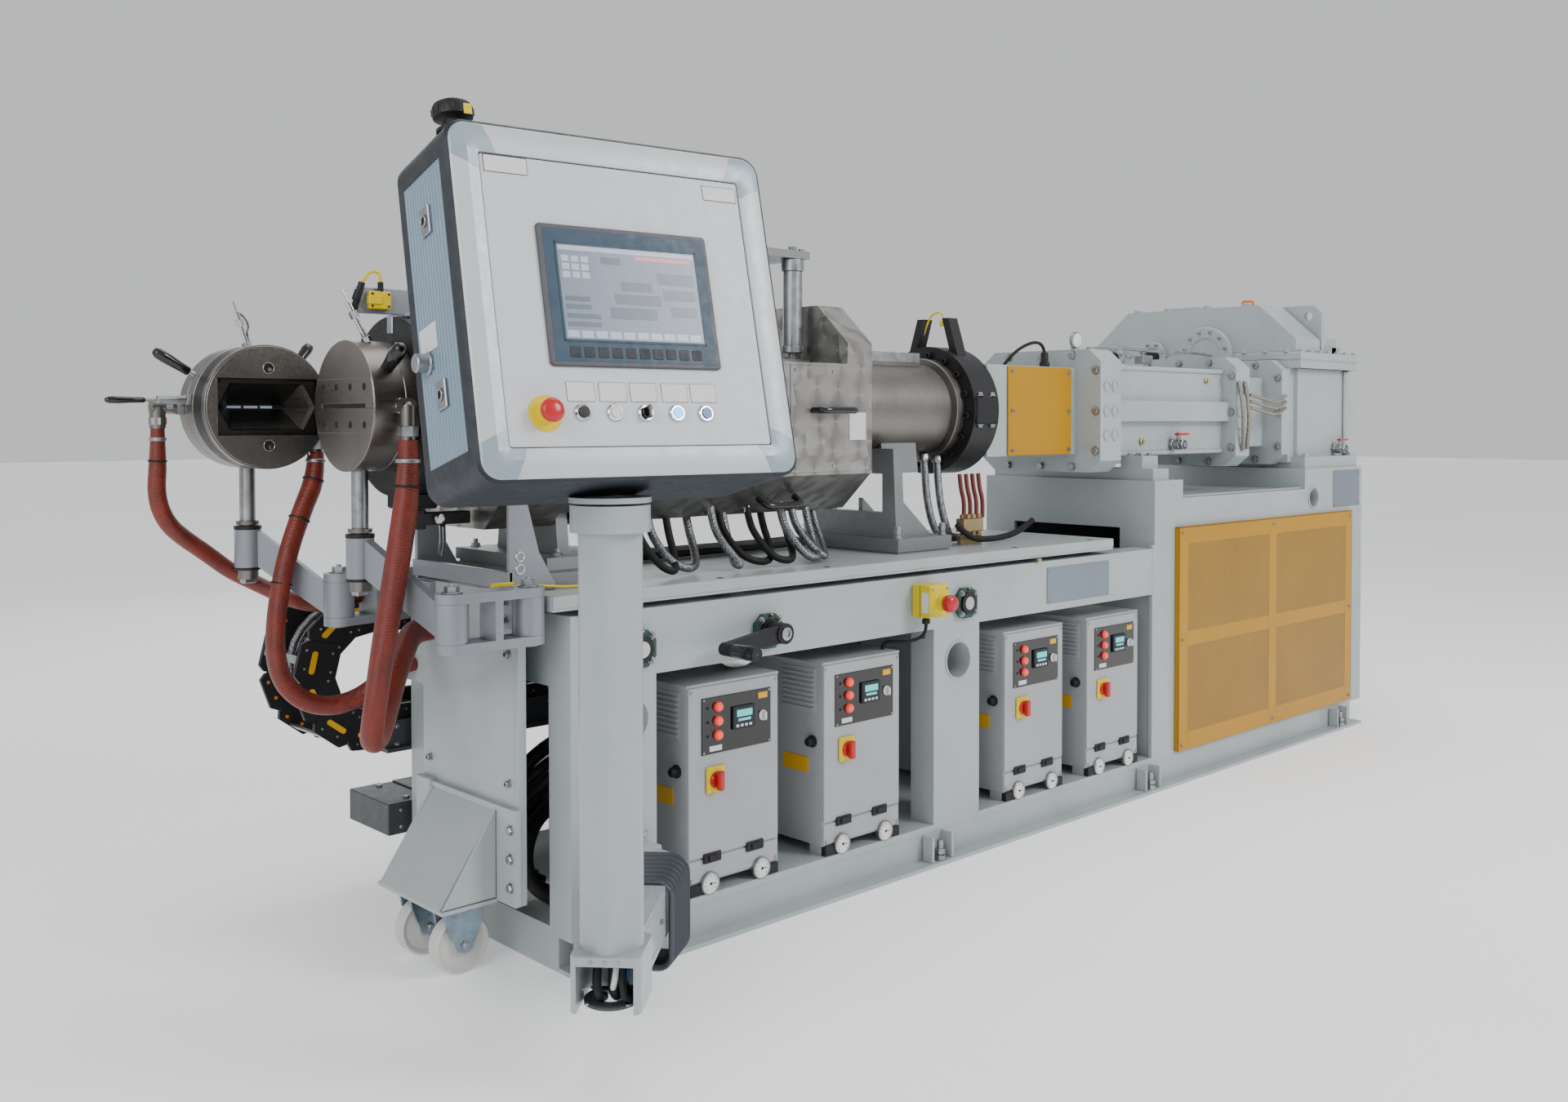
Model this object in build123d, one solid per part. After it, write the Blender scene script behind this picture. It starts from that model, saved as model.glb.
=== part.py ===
from build123d import *
import math
import os

# ---------------------------------------------------------------------------
# Strainer extruder: welded base frame with a drive box, a barrel carriage on
# rollers, two swing-out heads, gearbox drive train and a post-mounted panel.
# Working axes: X runs from the head end (0) to the drive end, Y from the
# operator side (0) to the rear, Z up from the floor.  All sizes in mm.
# ---------------------------------------------------------------------------

# driving dimensions ---------------------------------------------------------
XC, YC = 1780.0, 336.0            # middle of the base footprint, made the origin
BASE_W = 672.0                    # depth of the base frame
BOX_X0, BOX_X1 = 2179.0, 3634.0   # drive box along the machine
RAIL_X0, RAIL_X1 = 6.0, 3553.0    # bottom flanges of the sills
FLANGE_OUT = 44.0                 # the sill flange stands out this far
DECK_Z0, DECK_Z1 = 78.0, 94.5     # deck plate on the sills
BAY_TOP = 609.0                   # underside of the upper beams
BEAM_TOP = 752.6                  # top of the upper beams
PIL1 = 220.0                      # left pillar's inner edge
PIL2 = (1129.0, 1315.0)           # middle pillar
BEAM_D = 80.0                     # depth of beams and pillars
PORT_R = 47.0                     # cable ports in the pillars

TABLE_X = (-42.0, 1948.0)
TABLE_W = 607.2
TABLE_Z = (765.5, 797.7)

AX_Y, AX_Z = 303.6, 1184.0        # screw axis
BARREL_R = 132.0
FEED_R = 104.0                    # barrel under the feed covers
FEED_X = 990.0                    # the bare barrel starts here
RING_F = (-235.0, -125.0)         # front clamp ring
RING_R = (1440.0, 1548.0)         # rear clamp ring
RING_FR, RING_RR = 187.0, 185.0
BORE_R = 62.0
SCREW_R = 59.5
BARREL_X = (-235.0, 1440.0)
SLIDE = 1200.0                    # carriage travel

POST_X, POST_Y = -190.0, -405.0   # panel post
ARM_DX, ARM_DY = 0.741, 0.671     # unit direction from the post to the arm pivot
PIV_X, PIV_Y = 128.0, -117.0      # arm pivot
ARM_Z = (135.0, 240.0)
ARM_W = 82.0

# near and far head carriers
H0 = (-78.0, 34.0)
H1 = (-246.0, 40.0)
P2 = (-305.0, 303.6)
H0F = (-78.0, 573.2)
H1F = (-238.0, 545.0)
P1 = (-381.0, 687.0)
LINK_Z = (703.0, 819.0)
LINK_T = 19.0
KNUCKLE_R = 32.5
PIN_R = 12.0
POST_R = 16.0
HEAD_R = 132.5

WHEEL_R, WHEEL_W = 62.5, 36.0
WHEELS = ((-140.0, 208.0), (-140.0, 354.0))


# helpers --------------------------------------------------------------------
def bx(x0, x1, y0, y1, z0, z1):
    return Pos((x0 + x1) / 2, (y0 + y1) / 2, (z0 + z1) / 2) * Box(abs(x1 - x0), abs(y1 - y0), abs(z1 - z0))


def cz(x, y, r, z0, z1):
    return Pos(x, y, (z0 + z1) / 2) * Cylinder(r, z1 - z0)


def cx(y, z, r, x0, x1):
    return Pos((x0 + x1) / 2, y, z) * Rot(0, 90, 0) * Cylinder(r, x1 - x0)


def cy(x, z, r, y0, y1):
    return Pos(x, (y0 + y1) / 2, z) * Rot(90, 0, 0) * Cylinder(r, y1 - y0)


def poly_x(pts, x0, x1):
    """pts are (y, z); the outline is swept from x0 to x1."""
    f = Plane.YZ.offset(x0) * make_face(Polyline(*pts, close=True))
    return extrude(f, x1 - x0, dir=(1, 0, 0))


def poly_y(pts, y0, y1):
    """pts are (x, z); the outline is swept from y0 to y1."""
    f = make_face(Polyline(*[(x, y0, z) for x, z in pts], close=True))
    return extrude(f, y1 - y0, dir=(0, 1, 0))


def poly_z(pts, z0, z1):
    f = make_face(Polyline(*[(x, y, z0) for x, y in pts], close=True))
    return extrude(f, z1 - z0, dir=(0, 0, 1))


def bar(p, q, w, z0, z1, ext0=0.0, ext1=0.0):
    """Flat bar from plan point p to q, w wide, between z0 and z1."""
    dx, dy = q[0] - p[0], q[1] - p[1]
    n = math.hypot(dx, dy)
    ux, uy = dx / n, dy / n
    a = (p[0] - ux * ext0, p[1] - uy * ext0)
    b = (q[0] + ux * ext1, q[1] + uy * ext1)
    h = w / 2
    return poly_z([(a[0] - uy * h, a[1] + ux * h), (b[0] - uy * h, b[1] + ux * h),
                   (b[0] + uy * h, b[1] - ux * h), (a[0] + uy * h, a[1] - ux * h)], z0, z1)


nodes = {}


def node(name, *solids):
    nodes[name] = list(solids)


# base frame -----------------------------------------------------------------
Wb = BASE_W
front_sill = (bx(RAIL_X0, RAIL_X1, -FLANGE_OUT, 56, 0, 10)
              + bx(RAIL_X0 + 6, RAIL_X1, 2, 12, 10, DECK_Z0))
rear_sill = (bx(RAIL_X0, RAIL_X1, Wb - 56, Wb + FLANGE_OUT, 0, 10)
             + bx(RAIL_X0 + 6, RAIL_X1, Wb - 12, Wb - 2, 10, DECK_Z0))
node("sills", front_sill, rear_sill)
node("cross_sills",
     *[bx(x, x + 80, 56, Wb - 56, 0, DECK_Z0) for x in (RAIL_X0, 880.0, XC - 40, 2640.0, RAIL_X1 - 80)])
node("deck_plate", bx(0, BOX_X1, 0, Wb, DECK_Z0, DECK_Z1))

port = {}
for yc in (0.0, Wb - BEAM_D):
    for xc in (149.0, 1227.0):
        port[(yc, xc)] = cy(xc, 517.0, PORT_R, yc - 5, yc + BEAM_D + 5)
node("pillars",
     bx(0, PIL1, 0, BEAM_D, DECK_Z1, BAY_TOP) - port[(0.0, 149.0)],
     bx(PIL2[0], PIL2[1], 0, BEAM_D, DECK_Z1, BAY_TOP) - port[(0.0, 1227.0)],
     bx(0, PIL1, Wb - BEAM_D, Wb, DECK_Z1, BAY_TOP) - port[(Wb - BEAM_D, 149.0)],
     bx(PIL2[0], PIL2[1], Wb - BEAM_D, Wb, DECK_Z1, BAY_TOP) - port[(Wb - BEAM_D, 1227.0)])
node("upper_beams",
     bx(0, BOX_X0, 0, BEAM_D, BAY_TOP, BEAM_TOP),
     bx(0, BOX_X0, Wb - BEAM_D, Wb, BAY_TOP, BEAM_TOP))
HEAD_END = bx(0, 12, BEAM_D, Wb - BEAM_D, 600, BEAM_TOP)

# drive box: four walls, lid with raised blocks under the drive train
REC_Z, LEFT_Z, RIGHT_Z = 905.0, 964.0, 978.0
REC_X = (2343.0, 3173.0)
wall_prof = [(BOX_X0, DECK_Z1), (BOX_X1, DECK_Z1), (BOX_X1, RIGHT_Z), (REC_X[1], RIGHT_Z),
             (REC_X[1], REC_Z), (REC_X[0], REC_Z), (REC_X[0], LEFT_Z), (BOX_X0, LEFT_Z)]
sleeve_hole = cy(3237.0, 871.5, 34.0, -5, 25)
node("drive_box_front", poly_y(wall_prof, 0, 12) - sleeve_hole)
node("drive_box_rear", poly_y(wall_prof, Wb - 12, Wb))
node("drive_box_ends", bx(BOX_X0, BOX_X0 + 12, 12, Wb - 12, DECK_Z1, LEFT_Z)
     - bx(BOX_X0 - 5, BOX_X0 + 20, 128, 550, 745, 812),
     bx(BOX_X1 - 12, BOX_X1, 12, Wb - 12, DECK_Z1, RIGHT_Z))
lid = (bx(BOX_X0 + 12, BOX_X1 - 12, 12, Wb - 12, REC_Z - 12, REC_Z)
       + bx(BOX_X0 + 12, REC_X[0], 12, Wb - 12, REC_Z, LEFT_Z)
       + bx(REC_X[1], BOX_X1 - 12, 12, Wb - 12, REC_Z, RIGHT_Z))
lid = lid + bx(2200, 2290, 20, 652, LEFT_Z, 1001) + bx(2200, 2290, 60, 140, 1001, 1041) + bx(2200, 2290, 467, 547, 1001, 1041)
node("drive_box_lid", lid)
node("side_guards",
     bx(2300, 3519, -14, -0.0, DECK_Z1 + 2, 811), bx(2300, 3519, Wb, Wb + 14, DECK_Z1 + 2, 811))

# temperature control units
TCU_X = ((312, 585), (732, 1005), (1434, 1707), (1826, 2099))
tcus = []
for a, b in TCU_X:
    u = bx(a, b, 12, 560, DECK_Z1 + 24, 566)
    feet = [bx(a + 4, a + 44, 20, 60, DECK_Z1, DECK_Z1 + 24), bx(b - 44, b - 4, 20, 60, DECK_Z1, DECK_Z1 + 24),
            bx(a + 4, a + 44, 510, 550, DECK_Z1, DECK_Z1 + 24), bx(b - 44, b - 4, 510, 550, DECK_Z1, DECK_Z1 + 24)]
    for f in feet:
        u = u + f
    tcus.append(u)
node("temperature_units", *tcus)

# roller shafts that carry the table, with their flange bearings
SHAFT_Z, ROLL_R = 668.0, 97.0
SHAFTS = (170.0, 538.0, 1250.0)
CRX = SHAFTS[1]                   # the crank's shaft


def roller(xs, y0):
    return (cy(xs, SHAFT_Z, 17.5, y0, Wb + 18)
            + cy(xs, SHAFT_Z, ROLL_R, 95, 150) + cy(xs, SHAFT_Z, ROLL_R, 457, 512))


node("roller_shafts", roller(SHAFTS[0], -22), roller(SHAFTS[2], -22))
node("drive_roller", roller(CRX, -28))
brg = []
for xs in SHAFTS:
    for y0, y1, yh in ((-14, 0, -20), (Wb, Wb + 14, Wb + 20)):
        b = poly_y([(xs - 40, SHAFT_Z - 18), (xs - 40, SHAFT_Z + 18), (xs - 18, SHAFT_Z + 40), (xs + 18, SHAFT_Z + 40),
                    (xs + 40, SHAFT_Z + 18), (xs + 40, SHAFT_Z - 18), (xs + 18, SHAFT_Z - 40), (xs - 18, SHAFT_Z - 40)], y0, y1)
        b = b + cy(xs, SHAFT_Z, 28, min(y0, yh), max(y1, yh))
        brg.append(b - cy(xs, SHAFT_Z, 17.55, y0 - 30, y1 + 30))
node("flange_bearings", *brg)

# the beams are bored for the shafts
bored = []
for b in nodes["upper_beams"]:
    for xs in SHAFTS:
        b = b - cy(xs, SHAFT_Z, 20.0, -10, BEAM_D + 10) - cy(xs, SHAFT_Z, 20.0, Wb - BEAM_D - 10, Wb + 10)
    bored.append(b)
node("upper_beams", bored[0] + bored[1] + HEAD_END)

# hand crank on the middle roller shaft
crank = cy(CRX, SHAFT_Z, 24, -70, -28)
ca = math.radians(186.0)
gx, gz = CRX + 168 * math.cos(ca), SHAFT_Z + 168 * math.sin(ca)
crank = crank + poly_y([(CRX, SHAFT_Z + 20), (gx, gz + 14), (gx - 8, gz), (gx, gz - 14), (CRX, SHAFT_Z - 20)], -66, -46)
crank = crank + cy(gx, gz, 15, -158, -46)
node("hand_crank", crank)

# emergency stop box on the front beam
node("stop_box", bx(1042, 1114, -64, 0, 652, 733) + cy(1078, 690, 12, -92, -64) + cy(1078, 690, 20, -112, -92)
     + cz(1062, -32, 8, 634, 652))

# sliding table and what it carries -------------------------------------------
table = bx(TABLE_X[0], TABLE_X[1], 0, TABLE_W, TABLE_Z[0], TABLE_Z[1])
CX0, CX1 = -70.0, -42.0
column = (bx(CX0, CX0 + 18, 85, 482, 150, TABLE_Z[1])
          + bx(CX0 + 18, CX1, 120, 447, 200, TABLE_Z[1]))
node("column", column)

# caster bracket: back plate, sloped web, bottom plate, fork plates
bk = bx(CX0 - 14, CX0, 79, 424, 152, 352)
foot_pl = bx(-212, CX0 - 14, 148, 424, 148, 156)
slope = poly_y([(-212, 156), (CX0 - 14, 340), (CX0 - 14, 330), (-204, 156)], 160, 412)
gus = [poly_y([(-204, 156), (CX0 - 14, 330), (CX0 - 14, 156)], y0, y0 + 8) for y0 in (160, 404)]
cb = bk + foot_pl + slope
for g in gus:
    cb = cb + g
for (wx, wy) in WHEELS:
    for dy in (-WHEEL_W / 2 - 7, WHEEL_W / 2 + 3):
        cb = cb + poly_y([(wx - 48, 148), (wx + 48, 148), (wx + 20, 46), (wx - 20, 46)], wy + dy, wy + dy + 4)
    cb = cb + cy(wx, WHEEL_R + 0.3, 7.5, wy - 32, wy + 32)
node("caster_bracket", cb)
for i, (wx, wy) in enumerate(WHEELS):
    w = cy(wx, WHEEL_R + 0.3, WHEEL_R, wy - WHEEL_W / 2, wy + WHEEL_W / 2) - cy(wx, WHEEL_R + 0.3, 7.55, wy - 30, wy + 30)
    node("caster_wheel_near" if i == 0 else "caster_wheel_far", w)

# chain shelf on the far edge of the table
node("sliding_table", table + bx(TABLE_X[0], 270, TABLE_W, 890, 767.5, 779) + bx(180, 250, 705, 885, 758, 767.5))

# barrel and its supports
barrel = (cx(AX_Y, AX_Z, FEED_R, BARREL_X[0], FEED_X) + cx(AX_Y, AX_Z, BARREL_R, FEED_X, BARREL_X[1])
          + bx(1000, 1365, 262, 344, AX_Z + BARREL_R - 8, AX_Z + BARREL_R + 4)
          + bx(1000, 1365, 262, 266, AX_Z + BARREL_R + 4, AX_Z + BARREL_R + 30))
barrel = barrel - cx(AX_Y, AX_Z, BORE_R, BARREL_X[0] - 5, BARREL_X[1] + 5)
node("barrel", barrel)
front_foot = (bx(20, 230, 114, 494, 797.7, 831) + bx(26, 224, 122, 486, 831, 837) + bx(20, 230, 114, 494, 837, 863))
saddle = poly_x([(180, 863), (427, 863), (400, AX_Z - 60), (207, AX_Z - 60)], 90, 120)
saddle = saddle - cx(AX_Y, AX_Z, FEED_R, 0, 400)
front_foot = front_foot + saddle
RFX = (1112.0, 1330.0)
rear_foot = bx(RFX[0], RFX[1], 111, 496, 803, 838) + bx(RFX[0] + 6, RFX[1] - 6, 117, 490, 797.7, 803)
ped = poly_x([(138, 838), (469, 838), (457, 1078), (150, 1078)], 1134, 1168) - cx(AX_Y, AX_Z, BARREL_R, 1000, 1400)
ped = ped - bx(1100, 1200, 190, 417, 905, 1010)
rear_foot = rear_foot + ped + poly_x([(200, 1010), (407, 1010), (393, 1140), (214, 1140)], 1150, 1290) - cx(AX_Y, AX_Z, BARREL_R, 1000, 1400)
for gy in (150, 296, 441):
    rear_foot = rear_foot + poly_y([(1168, 838), (1290, 838), (1168, 940)], gy, gy + 16)
node("barrel_feet", front_foot, rear_foot)

node("front_clamp_ring", cx(AX_Y, AX_Z, RING_FR, *RING_F) - cx(AX_Y, AX_Z, FEED_R, RING_F[0] - 5, RING_F[1] + 5))
rr = cx(AX_Y, AX_Z, RING_RR, *RING_R) - cx(AX_Y, AX_Z, BORE_R, 1430, 1560)
for pts in ([(196, AX_Z + 120), (232, AX_Z + 150), (268, AX_Z + 268), (244, AX_Z + 268)],
            [(411, AX_Z + 120), (375, AX_Z + 150), (339, AX_Z + 268), (363, AX_Z + 268)]):
    rr = rr + poly_x(pts, 1470, 1510)
rr = rr - cx(AX_Y, AX_Z, BORE_R, 1430, 1560)
node("rear_clamp_ring", rr)

# covers round the feed section, in bent sheet
CV_X = (-82.0, 988.0)
CV_Y = (90.0, 517.2)
CV_T = 3.0
cov_o = [(90, 1296), (90, 1022), (196, 925), (411.2, 925), (517.2, 1022), (517.2, 1296)]
cov_i = [(93, 1293), (93, 1023.3), (197.2, 928), (410, 928), (514.2, 1023.3), (514.2, 1293)]
cover = poly_x(cov_o, *CV_X) - poly_x(cov_i, CV_X[0] + CV_T, CV_X[1] - CV_T)
cover = cover - cx(AX_Y, AX_Z, FEED_R, CV_X[0] - 5, CV_X[1] + 5) - bx(84, 126, 165, 442, 900, 1000)
cover = cover - bx(902, 985, 93, 514.2, 1290, 1300)
node("barrel_cover", cover)
HD_X = (899.0, 988.0)
hood = (poly_x([(90, 1296), (90, 1352), (200, 1452), (407.2, 1452), (517.2, 1352), (517.2, 1296)], *HD_X)
        - poly_x([(93, 1290), (93, 1350.7), (201, 1449), (406.2, 1449), (514.2, 1350.7), (514.2, 1290)], HD_X[0] + 3, HD_X[1] - 3))
node("feed_hood", hood)

# feed roller drive standing on the cover
FR_X = 858.0
node("feed_roller_drive", bx(FR_X - 148, FR_X + 38, 225, 420, 1572, 1592)
     + bx(FR_X - 148, FR_X - 60, 285, 400, 1312, 1572) + bx(FR_X - 148, FR_X + 38, 222, 400, 1296, 1312)
     + cz(FR_X, 250, 24, 1330, 1572) + cz(FR_X, 250, 12, 1312, 1330) + cz(FR_X, 250, 11, 1592, 1604))

# fixed knuckles of the head carriers
def knuckle(h, ysign):
    k = cz(h[0], h[1], KNUCKLE_R, LINK_Z[0] + LINK_T + 0.5, LINK_Z[1] - LINK_T - 0.5)
    if ysign > 0:
        k = k + bx(CX0 - 14, CX0, h[1], h[1] + 120, LINK_Z[0] + LINK_T + 4, LINK_Z[1] - LINK_T - 4)
    else:
        k = k + bx(CX0 - 14, CX0, h[1] - 150, h[1], LINK_Z[0] + LINK_T + 4, LINK_Z[1] - LINK_T - 4)
    return k - cz(h[0], h[1], PIN_R + 0.05, LINK_Z[0], LINK_Z[1])


node("carrier_knuckles", knuckle(H0, 1), knuckle(H0F, -1))


def link(a, b):
    s = bar(a, b, 2 * KNUCKLE_R, LINK_Z[0], LINK_Z[0] + LINK_T) + bar(a, b, 2 * KNUCKLE_R, LINK_Z[1] - LINK_T, LINK_Z[1])
    for p in (a, b):
        s = s + cz(p[0], p[1], KNUCKLE_R, LINK_Z[0], LINK_Z[0] + LINK_T) + cz(p[0], p[1], KNUCKLE_R, LINK_Z[1] - LINK_T, LINK_Z[1])
        s = s + cz(p[0], p[1], PIN_R, LINK_Z[0] + LINK_T, LINK_Z[1] - LINK_T)
    m = ((a[0] * 0.56 + b[0] * 0.44), (a[1] * 0.56 + b[1] * 0.44))
    q = ((a[0] * 0.46 + b[0] * 0.54), (a[1] * 0.46 + b[1] * 0.54))
    s = s + bar(m, q, 2 * KNUCKLE_R, LINK_Z[0] + LINK_T, LINK_Z[1] - LINK_T)
    return s


def carrier_arm(h, p, zb0, zb1):
    """Knuckle tube in the link, sloped plate and post bushing."""
    kz0, kz1 = LINK_Z[0] + LINK_T + 0.5, LINK_Z[1] - LINK_T - 0.5
    s = cz(h[0], h[1], KNUCKLE_R, kz0, kz1) + cz(p[0], p[1], 28, zb0, zb1)
    d = math.hypot(p[0] - h[0], p[1] - h[1])
    f = make_face(Polyline((25, 0, kz0 + 4), (30, 0, kz1 - 2), (d - 24, 0, zb1 - 2), (d - 24, 0, zb0 + 2), close=True))
    pl = extrude(f, 10, dir=(0, 1, 0), both=True)
    ang = math.degrees(math.atan2(p[1] - h[1], p[0] - h[0]))
    s = s + Pos(h[0], h[1], 0) * Rot(0, 0, ang) * pl
    return s - cz(h[0], h[1], PIN_R + 0.05, kz0 - 5, kz1 + 5) - cz(p[0], p[1], POST_R + 0.05, zb0 - 5, zb1 + 5)


BZ = (832.0, 915.0)
node("near_link", link(H0, H1))
node("near_arm", carrier_arm(H1, P2, BZ[0], BZ[1]))
node("far_link", link(H0F, H1F))
node("far_arm", carrier_arm(H1F, P1, BZ[0], BZ[1]))

# hose brackets on the column's far edge
nodes["column"] = [column + bx(CX0, CX0 + 18, 482, 560, 560, 660)]

# die head on its post, facing the head end
DIE_X = (-337.0, -238.0)


def head_post(p):
    return cz(p[0], p[1], POST_R, 806, AX_Z - HEAD_R + 10) + cz(p[0], p[1], 24, 926, 934) + cz(p[0], p[1], 22, 806, 830)


slotx = bx(DIE_X[0] - 5, DIE_X[0] + 55, AX_Y - 97, AX_Y + 97, AX_Z - 6, AX_Z + 6)
die = cx(AX_Y, AX_Z, HEAD_R, *DIE_X) + head_post(P2) - slotx
die = die + cy(-282, AX_Z, 16, 136, 175) + cz(-282, 142, 15, 1116, AX_Z)
node("die_head", die)

# strainer head, turned to face the operator side
ST_X = P1[0]
ST_Y = (570.0, 717.0)
win = bx(ST_X - 107, ST_X + 107, ST_Y[0] - 5, ST_Y[0] + 70, AX_Z - 61, AX_Z + 61)
st = cy(ST_X, AX_Z, HEAD_R, *ST_Y) + head_post(P1) - win
st = st + cx(700, AX_Z, 15, -578, -510) + cz(-564, 700, 16, 1138, AX_Z)
st = st + cz(-262, 604, 15, 1086, 1132)
node("strainer_head", st)

# screw, fixed to the drive side, inside the barrel
node("screw", cx(AX_Y, AX_Z, SCREW_R, 60, 1549))

# drive train ----------------------------------------------------------------
th = poly_x([(164, 1049), (443, 1049), (443, 1318), (164, 1318)], 1549, 1991)
node("thrust_housing", th)
OCT = [(75, 1030), (120, 993), (487, 993), (532, 1030), (532, 1338), (487, 1376), (120, 1376), (75, 1338)]
node("drive_flanges", poly_x(OCT, 1991, 2103), poly_x(OCT, 2810, 2904), poly_x(OCT, 3140, 3186))
node("coupling_housing", poly_x([(130, 1041), (477, 1041), (477, 1330), (130, 1330)], 2103, 2810)
     + bx(2103, 2810, 100, 507, 1152, 1218))
node("adapter_neck", poly_x([(150, 1060), (457, 1060), (457, 1310), (150, 1310)], 2904, 3140))
GB_Y = (33.0, 945.0)
gb = (bx(3200, 3659, GB_Y[0], GB_Y[1], 1346, 1406) + bx(3230, 3620, 60, 918, 1020, 1346)
      + bx(3210, 3634, 20, 958, RIGHT_Z, 1020) + bx(3186, 3230, 75, 532, 1000, 1346))
node("gearbox_body", gb)
gc = poly_x([(56, 1406), (56, 1455), (206, 1586), (772, 1586), (922, 1455), (922, 1406)], 3205, 3395)
gc = gc + poly_x([(222, 1406), (222, 1572), (760, 1572), (880, 1470), (880, 1406)], 3395, 3600)
gc = gc + poly_x([(58, 1406), (58, 1560), (88, 1590), (221, 1590), (221, 1406)], 3410, 3440) - cx(112, 1550, 18, 3400, 3450)
gc = gc + bx(3440, 3600, 90, 222, 1406, 1470)
node("gearbox_cover", gc)
node("shaft_end_cover", cx(170, AX_Z, 98, 3620, 3715))

# drain valves with turning handles
def valve(x, z, y0):
    return cy(x, z, 14, y0 - 55, y0) + cz(x, y0 - 30, 7, z + 10, z + 30)


def handle(x, z, y0):
    return bx(x - 12, x + 62, y0 - 38, y0 - 22, z + 30.5, z + 38)


V1, V2 = (2480.0, 1074.0, 130.0), (3515.0, 1046.0, 60.0)
node("drain_valves", valve(*V1), valve(*V2))
node("valve_handle_1", handle(*V1))
node("valve_handle_2", handle(*V2))

# operator panel -------------------------------------------------------------
br = (bx(PIV_X - 60, PIV_X + 60, -58, 0, 118, 128) + bx(PIV_X - 60, PIV_X + 60, -58, 0, 246, 256)
      + bar((PIV_X, -58), (PIV_X, PIV_Y), 84, 118, 128) + bar((PIV_X, -58), (PIV_X, PIV_Y), 84, 246, 256)
      + cz(PIV_X, PIV_Y, 42, 118, 128) + cz(PIV_X, PIV_Y, 42, 246, 256)
      + cz(PIV_X, PIV_Y, 15, 128, 246) + bx(PIV_X - 60, PIV_X + 60, -10, 0, 96, 290))
node("arm_hinge_bracket", br)
arm = (cz(PIV_X, PIV_Y, 40, ARM_Z[0], ARM_Z[1])
       + bar((POST_X, POST_Y), (PIV_X, PIV_Y), ARM_W, ARM_Z[0], ARM_Z[1], 0, -34)
       + bar((POST_X, POST_Y), (PIV_X, PIV_Y), 60, ARM_Z[0], ARM_Z[1], 0, 0))


def on_arm(s0, s1, w, z0, z1):
    """Bar along the arm between two distances from the post, toward the pivot."""
    return bar((POST_X + ARM_DX * s0, POST_Y + ARM_DY * s0), (POST_X + ARM_DX * s1, POST_Y + ARM_DY * s1), w, z0, z1, 0, 0)


arm = arm - cz(PIV_X, PIV_Y, 15.05, 100, 300) - on_arm(-70, 60, 130, 100, 300)
# foot of the post, open to the floor and on its outer side for the cables
foot = on_arm(-62, 62, 124, 140, 238)
foot = fillet(foot.edges().filter_by(Axis.Z), 16)
foot = foot - on_arm(-90, 50, 100, 130, 222)
node("panel_arm", arm + foot)
# rubber boot round the arm's inner end
ARM_L = math.hypot(PIV_X - POST_X, PIV_Y - POST_Y)
boot = on_arm(ARM_L - 122, ARM_L - 58, 144, 62, 268) - on_arm(ARM_L - 130, ARM_L - 50, ARM_W + 2, ARM_Z[0] - 1, ARM_Z[1] + 1)
node("arm_bellows", boot)
post = Pos(POST_X, POST_Y, (238 + 962) / 2) * Box(97, 97, 962 - 238)
post = fillet(post.edges().filter_by(Axis.Z), 30)
node("panel_post", post + cz(POST_X, POST_Y, 70, 962, 1009))

# enclosure, leaning back on its own plane
PNL = Plane(origin=(-346.6, -456.8, 1241.9), x_dir=(0.9929, -0.1191, 0), z_dir=(0.02707, 0.22611, 0.97373))
# in this plane x is across the panel, y goes into it and z up its face
EN_X, EN_Z, EN_D = (-140.0, 475.0), (-190.0, 415.0), 215.0


def lb(x0, x1, y0, y1, z0, z1):
    return PNL.location * Pos((x0 + x1) / 2, (y0 + y1) / 2, (z0 + z1) / 2) * Box(x1 - x0, y1 - y0, z1 - z0)


enc = lb(EN_X[0], EN_X[1], 0, EN_D, EN_Z[0], EN_Z[1])
enc = fillet(enc.edges().filter_by(lambda e: abs(e.length - EN_D) < 1e-3), 36)
node("panel_enclosure", enc + cz(POST_X, POST_Y, 66, 1011, 1062))
node("panel_screen", lb(0, 330, -9, 0, 0, 245))
bcn = PNL.location * Pos(-95, 60, 0) * Pos(0, 0, EN_Z[1] + 30) * Cylinder(34, 60)
node("panel_beacon", bcn)


# energy chain: one fixed loop beside the base, in its trough
CH_C, CH_R, CH_T, CH_Y = (-84.0, 563.0), 188.0, 100.0, (697.0, 902.0)


def chain_side(r):
    """Stadium outline half, open toward the drive end."""
    return cy(CH_C[0], CH_C[1], r, *CH_Y)


ch = (chain_side(CH_R) - chain_side(CH_R - CH_T)) - bx(CH_C[0], 400, CH_Y[0] - 5, CH_Y[1] + 5, 300, 800)
ch = ch + bx(CH_C[0], 250, *CH_Y, CH_C[1] + CH_R - CH_T, CH_C[1] + CH_R)
ch = ch + bx(CH_C[0], 900, *CH_Y, CH_C[1] - CH_R, CH_C[1] - CH_R + CH_T)
node("energy_chain", ch)
trough = (bx(-62, 920, 672, 910, 366, CH_C[1] - CH_R) + bx(-62, 920, 688, 694, 366, 438) + bx(-62, 920, 904, 910, 366, 438))
duct = bx(-50, 1500, 692, 892, 164, 236) + bx(60, 160, 672, 692, 170, 230) + bx(1170, 1270, 672, 692, 170, 230)
node("cable_trough", trough, duct)


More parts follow.
